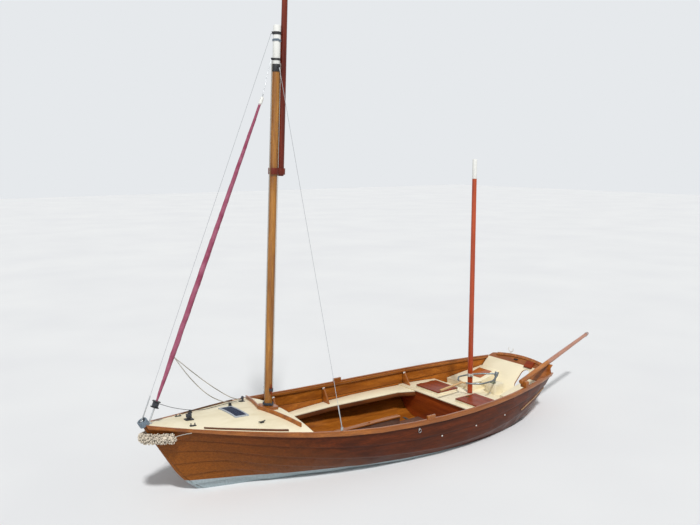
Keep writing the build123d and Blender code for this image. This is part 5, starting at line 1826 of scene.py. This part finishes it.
@dataclass
class Rig:
    """Masts, yard and bumkin with their lines, cleats and bands."""

    deck: Vector = field(default_factory=lambda: Vector((1.370, 0.0, 0.720)))
    top: Vector = field(default_factory=lambda: Vector((1.185, 0.0, 4.964)))
    cleat_z: float = 0.95
    cleat_off: float = 0.052
    cleat_half: Place = (0.012, 0.008, 0.03)
    horn_z: tuple[float, ...] = (-0.062, -0.03, 0.03, 0.062)
    halyard_r: float = 0.003
    halyard_places: tuple[Place, ...] = ((-0.030, 0.045, 4.56), (0.028, -0.048, 4.56), (0.052, 0.0, 4.58))
    foot_turns_z: float = 0.765
    strop_z: float = 4.79
    mizzen_x: float = -1.86
    mizzen_lashing_z: float = 0.535
    mizzen_rope_r: float = 0.0055
    knot: tuple[Flat, ...] = ((0, 0.005), (0.008, 0.012), (0.020, 0.013), (0.030, 0.005))
    bumkin_heel: Place = (-2.05, 0.745, 0.6)
    bumkin_tip: Place = (-4.44, 0.0, 0.79)
    band: tuple[Flat, ...] = (
        (0.0, 0.0235), (0.0, 0.0278), (0.002, 0.0288), (0.028, 0.0284), (0.03, 0.0274), (0.03, 0.0235),
    )
    eye_r: float = 0.011

    def mast(self, z: float, ahead: float = 0.0, across: float = 0.0) -> Vector:
        """A point beside the main mast's axis.

        Args:
            z: height.
            ahead: distance forward of the axis.
            across: distance to port of it.

        Returns:
            The point.
        """
        point = self.deck.lerp(self.top, (z - self.deck.z) / (self.top.z - self.deck.z))
        return point + Vector((ahead, across, 0))

    def build(self) -> None:
        """Makes every piece of the rig."""
        masts = {"main_mast": MAST_WOOD, "mizzen_mast": MIZZEN_WOOD, "mast_heads": WHITE}
        spars = {"gunter_yard": YARD_WOOD, "yard_jaws": YARD_WOOD, "bumkin": BUMKIN_WOOD}
        for node, finish in {**masts, **spars, "mast_bands": BLACK}.items():
            dressed_copy(node, finish, 0.6)
        for node in ("stays", "stay_fittings", "jib_halyard", "furler_base", "centreplate_pin"):
            dressed_copy(node, STEEL, 0.3)
        self.halyards()
        self.cleats()
        self.lashings()
        self.bumkin_end()

    def halyards(self) -> None:
        """Taut halyards down the mast to the cleats."""
        lines = []
        for ahead, across, top in self.halyard_places:
            line = [self.mast(z, ahead, across) for z in (self.cleat_z - 0.03, 2.0, 3.0, 3.6, top)]
            lines.append(tube("halyard", line, self.halyard_r, 8))
        placed("halyards", joined("halyards", lines), SHEET_ROPE, "hull")

    def cleats(self) -> None:
        """A cleat on each side of the mast with rope turns on it, and turns round the mast's foot."""
        half = Vector(self.cleat_half)
        cleats = []
        turns = []
        for hand in (1, -1):
            middle = self.mast(self.cleat_z, 0.0, hand * self.cleat_off)
            cleats.append(rounded_block("cleat_foot", middle - half, middle + half, 0.004))
            horn = [middle + Vector((0, hand * 0.012, z)) for z in self.horn_z]
            cleats.append(tube("cleat_horn", horn, 0.0075, 10))
            start = middle + Vector((0, hand * 0.006, -0.018))
            turns.append(tube("cleat_turns", turns_round(start, UP, 0.021, 4.5, 0.008), 0.0035, 8))
        placed("mast_cleats", joined("mast_cleats", cleats), RED_WOOD, "hull")
        foot = turns_round(self.mast(self.foot_turns_z), self.top - self.deck, 0.058, 3.0, 0.009)
        turns.append(tube("foot_turns", foot, 0.0045, 8))
        placed("cleat_turns", joined("cleat_turns", turns), DARK_ROPE, "hull")

    def lashings(self) -> None:
        """Rope turns and a knot on the mizzen mast, and a strop near the main mast's head."""
        mast = Surface(["mizzen_mast"])
        fore = mast.hit((self.mizzen_x + 1, 0, self.mizzen_lashing_z), -FORWARD)[0]
        aft = mast.hit((self.mizzen_x - 1, 0, self.mizzen_lashing_z), FORWARD)[0]
        foot = (fore + aft) / 2
        reach = (fore - aft).length / 2 + 0.004
        turns = tube("mizzen_lashing", turns_round(foot, UP, reach, 4.0, 0.0105), self.mizzen_rope_r, 8)
        side = foot + Vector((0.012, reach, 0.016))
        knot = lathe("mizzen_knot", side, side + Vector((0.03, 0.014, 0.012)), self.knot, 12)
        placed("mizzen_lashing", joined("mizzen_lashing", [turns, knot]), WHITE_ROPE, "hull")
        strop = turns_round(self.mast(self.strop_z), self.top - self.deck, 0.0455, 3.0, 0.008)
        placed("mast_strop", tube("mast_strop", strop, 0.0038, 8), BLUE_ROPE, "hull")

    def bumkin_end(self) -> None:
        """The band and eye at the bumkin's end."""
        heel, end = Vector(self.bumkin_heel), Vector(self.bumkin_tip)
        along = (end - heel).normalized()
        reach = (end - heel).length
        band = lathe("bumkin_band", heel + along * (reach - 0.07), end, self.band, 32)
        middle = heel + along * (reach - 0.055) - UP * 0.036
        eye = tube("bumkin_eye", hoop(middle, FORWARD * self.eye_r, UP * self.eye_r, 20), 0.003, 8)
        placed("bumkin_band", joined("bumkin_band", [band, eye]), STEEL, "hull")


@dataclass
class Cockpit:
    """Sole, benches, thwart, lockers and the stern's joinery."""

    panel_x: Flat = (-2.62, -2.38)
    panel_y: Flat = (-0.56, -0.31)
    panel_thick: float = 0.009
    plate_place: Flat = (-2.879, -0.075)
    hinge_x: Flat = (-1.50, -1.71)
    hinge_y: float = 0.6285
    hinge_z: float = 0.3465
    knuckle: Flat = (0.021, 0.0036)
    knuckle_pitch: float = 0.022
    pull_place: Place = (-1.604, 0.215, 0.3492)
    pull_r: float = 0.02
    slat_spacing: float = 0.016
    slat: Place = (0.006, 0.006, 0.085)
    screw_x: tuple[float, ...] = (1.0, 0.62, -0.1, -0.85, -1.18)
    screw_y: Flat = (0.055, 0.455)
    sole_top: float = -0.07
    screw_spacing: float = 0.08
    screw: Place = (0.009, 0.009, 0.0014)

    def build(self) -> None:
        """Makes every piece of the cockpit."""
        for node in ("mizzen_thwart", "side_decks", "side_deck_walls", "aft_sole"):
            dressed_copy(node, CREAM)
        dressed_copy("side_benches", BENCH)
        dressed_copy("centreplate_case", SOLE_WOOD)
        for node in ("rudder_trunk", "hatch_coamings"):
            dressed_copy(node, CREAM_GLOSS, 2.0)
        dressed_copy("thwart_bulkheads", BULKHEAD_WOOD)
        dressed_copy("case_cap", RAIL)
        dressed_copy("sole_boards", SOLE_WOOD, 2.0)
        dressed_copy("floors_and_steps", BILGE_PAINT)
        for node in ("port_hatch_lid", "starboard_hatch_lid"):
            dressed_copy(node, RED_WOOD, 1.0)
        dressed_copy("outboard_pad", RED_WOOD, 3.0)
        dressed_copy("sculling_rowlock", NYLON, 0.5)
        dressed_copy("tiller", YOKE, 0.6)
        for node in ("rudder", "centreplate"):
            dressed_copy(node, ZINC, 0.6)
        dressed_copy("rudder_tube", STEEL, 0.3)
        self.hinges()
        self.trunk()
        self.screws()
        self.quarter_panel()
        self.transom_top()

    def quarter_panel(self) -> None:
        """The varnished panel let into the starboard side deck."""
        deck = Surface(["side_decks"])
        (aft, fore), (out, inner) = self.panel_x, self.panel_y
        places = ((aft, out), (fore, out), (fore, inner), (aft, inner))
        corners = [deck.hit((x, y, 1.0), -UP)[0] for x, y in places]
        panel = board("quarter_panel", corners, self.panel_thick)
        placed("quarter_panel", panel, QUARTER_WOOD, "hull")

    def transom_top(self) -> None:
        """Black plate beside the sculling rowlock."""
        top = Surface(["transom_trim", "transom"]).hit((*self.plate_place, 1.0), -UP)[0]
        low, high = top - Vector((0.018, 0.035, 0.002)), top + Vector((0.018, 0.035, 0.010))
        plate = rounded_block("rowlock_plate", low, high, 0.004)
        placed("rowlock_plate", plate, BLACK, "hull")

    def hinges(self) -> None:
        """Knuckles along each lid's outer edge, and a flush ring near its inner edge."""
        length, radius = self.knuckle
        pin = [(0.0, radius), (length, radius)]
        knuckles = []
        for hand in (1, -1):
            for x in self.hinge_x:
                for shift in (-self.knuckle_pitch, 0.0, self.knuckle_pitch):
                    foot = Vector((x + shift - length / 2, hand * self.hinge_y, self.hinge_z))
                    knuckles.append(lathe("knuckle", foot, foot + FORWARD, pin, 14))
        placed("lid_hinges", joined("lid_hinges", knuckles), BRONZE, "hull")
        plate_outline = [(0.0, 0.03), (0.0012, 0.029), (0.0014, 0.001)]
        x, y, z = self.pull_place
        for hand, body in ((1, "port_hatch_lid"), (-1, "starboard_hatch_lid")):
            middle = Vector((x, hand * y, z))
            flat_ring = hoop(middle + UP * 0.002, PORT * self.pull_r, FORWARD * self.pull_r)
            plate = lathe("pull_plate", middle, middle + UP, plate_outline, 32)
            pull = joined("pull", [plate, tube("pull_ring", flat_ring, 0.0022, 8)])
            placed(f"{body}_pull", pull, BRONZE, body)

    def trunk(self) -> None:
        """Louvre slats on the trunk's front and sides, and the fitting on its top."""
        low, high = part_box("rudder_trunk")
        z = (low.z + high.z) / 2 - 0.004
        front = high.x + 0.002
        lines = [[Vector((front, low.y + 0.025, z)), Vector((front, high.y - 0.025, z))]]
        for y in (low.y - 0.002, high.y + 0.002):
            lines.append([Vector((low.x + 0.025, y, z)), Vector((high.x - 0.025, y, z))])
        slats = FastenerRow("trunk_louvres", FastenerKind.SLAT, self.slat_spacing, self.slat)
        placed("trunk_louvres", slats.mesh(lines, CREAM_GLOSS), CREAM_GLOSS, "hull")
        aft = Vector((high.x - 0.075, -0.03, high.z + 0.0003))
        fore = Vector((high.x - 0.02, 0.045, high.z + 0.02))
        fitting = rounded_block("trunk_fitting", aft, fore, 0.006)
        foot = Vector((high.x - 0.05, 0.01, high.z + 0.02))
        outline = [(0, 0.012), (0.012, 0.009), (0.02, 0.013), (0.026, 0.011), (0.028, 0.002)]
        knob = lathe("trunk_knob", foot, foot + UP, outline, 20)
        placed("trunk_fitting", joined("trunk_fitting", [fitting, knob]), GREY_GREEN, "hull")

    def screws(self) -> None:
        """Screw heads where the sole boards cross the floor timbers."""
        lines = []
        for x in self.screw_x:
            for hand in (1, -1):
                lines.append([Vector((x, hand * y, self.sole_top)) for y in self.screw_y])
        row = FastenerRow("sole_screws", FastenerKind.SCREW, self.screw_spacing, self.screw)
        placed("sole_screws", row.mesh(lines, BRONZE), BRONZE, "hull")


@dataclass
class Lamp:
    """A soft lamp of the studio."""

    name: str
    energy: float
    place: Place
    angle: float


@dataclass
class Studio:
    """Pale floor at the waterline, soft light and the camera."""

    eye: Vector = field(default_factory=lambda: Vector((5.696, 7.443, 3.588)))
    look: Vector = field(default_factory=lambda: Vector((-0.5877, -0.7972, -0.1380)))
    lens: float = 40.06
    sensor: float = 36.0
    half: float = 60.0
    floor_aft: float = -2.55
    floor_step: float = 0.1
    floor_steps: int = 47
    lamps: tuple[Lamp, ...] = (
        Lamp("key", 2.5, (3.0, 6.0, 9.0), 0.10),
        Lamp("fill", 0.55, (8.0, 5.0, 3.5), 1.2),
    )
    soft_colour: str = "F2F4F6"
    soft_strength: float = 0.36
    seen_colour: str = "E6E9EC"

    def aim(self) -> None:
        """Makes the camera."""
        lens = bpy.data.cameras.new("camera")
        lens.lens = self.lens
        lens.sensor_width = self.sensor
        lens.clip_end = 200.0
        camera = bpy.data.objects.new("camera", lens)
        camera.location = self.eye
        camera.rotation_euler = self.look.to_track_quat("-Z", "Y").to_euler()
        bpy.context.scene.collection.objects.link(camera)
        bpy.context.scene.camera = camera

    def waterline(self) -> Points:
        """The floor's opening, just inside the planks at the waterline, so that the sole shows below it.

        Returns:
            The points, port side first.
        """
        skin = Surface(["bottom_strakes", "side_strakes"])
        side = []
        for index in range(self.floor_steps):
            x = self.floor_aft + index * self.floor_step
            point = skin.tree.ray_cast(Vector((x, 2.0, 0.0)), -PORT)[0]
            if point is not None and point.y > 0.03:
                side.append(Vector((x, point.y - 0.006, 0.0)))
        return side + [Vector((point.x, -point.y, 0.0)) for point in reversed(side)]

    def build(self) -> None:
        """Makes the floor, the lamps and the world."""
        shaped = bmesh.new()
        edges = []
        corners_of_floor = ((-1, -1), (1, -1), (1, 1), (-1, 1))
        outer = [Vector((a * self.half, b * self.half, 0)) for a, b in corners_of_floor]
        for loop in (outer, self.waterline()):
            corners = [shaped.verts.new(point) for point in loop]
            edges += [shaped.edges.new((a, b)) for a, b in zip(corners, corners[1:] + corners[:1])]
        bmesh.ops.triangle_fill(shaped, use_beauty=True, use_dissolve=False, edges=edges, normal=(0, 0, 1))
        mesh = bpy.data.meshes.new("floor")
        shaped.to_mesh(mesh)
        shaped.free()
        floor = bpy.data.objects.new("floor", mesh)
        bpy.context.scene.collection.objects.link(floor)
        mesh.materials.append(StudioFloor("studio_floor").material())
        if mesh.polygons[0].normal.z < 0:
            mesh.flip_normals()
        self.light()
        self.world()

    def light(self) -> None:
        """A soft key from high ahead of the beam and a weak, wide fill."""
        bpy.context.scene.view_settings.view_transform = "Standard"
        for wanted in self.lamps:
            lamp = bpy.data.lights.new(wanted.name, "SUN")
            lamp.energy = wanted.energy
            lamp.angle = wanted.angle
            holder = bpy.data.objects.new(wanted.name, lamp)
            holder.location = wanted.place
            holder.rotation_euler = (-Vector(wanted.place)).to_track_quat("-Z", "Y").to_euler()
            bpy.context.scene.collection.objects.link(holder)

    def world(self) -> None:
        """A dim pale world, which the camera and mirroring surfaces see as a plain pale background."""
        world = bpy.data.worlds.new("studio")
        bpy.context.scene.world = world
        world.use_nodes = True
        tree = world.node_tree
        tree.nodes.clear()
        dim = {"Color": srgb(self.soft_colour), "Strength": self.soft_strength}
        soft = add_node(tree, "ShaderNodeBackground", None, dim)
        plain = {"Color": srgb(self.seen_colour), "Strength": 1.0}
        seen = add_node(tree, "ShaderNodeBackground", None, plain)
        path = add_node(tree, "ShaderNodeLightPath")
        either = {0: path.outputs["Is Camera Ray"], 1: path.outputs["Is Glossy Ray"]}
        direct = add_node(tree, "ShaderNodeMath", {"operation": "MAXIMUM"}, either)
        all_three = {0: direct.outputs[0], 1: path.outputs["Is Transmission Ray"]}
        pale = add_node(tree, "ShaderNodeMath", {"operation": "MAXIMUM"}, all_three)
        both = {0: pale.outputs[0], 1: soft.outputs[0], 2: seen.outputs[0]}
        shown = add_node(tree, "ShaderNodeMixShader", None, both)
        add_node(tree, "ShaderNodeOutputWorld", None, {"Surface": shown.outputs[0]})


def main() -> None:
    """Makes the camera and the sheets, then the dinghy's dressed pieces."""
    logging.basicConfig(level=logging.INFO, format="%(message)s")
    studio = Studio()
    studio.aim()
    jib = Jib()
    jib.sheets()
    for part in (Hull(), Foredeck(), Fender(), jib, Rig(), Cockpit(), studio):
        log.info("building %s", type(part).__name__)
        part.build()


if __name__ == "__main__":
    main()
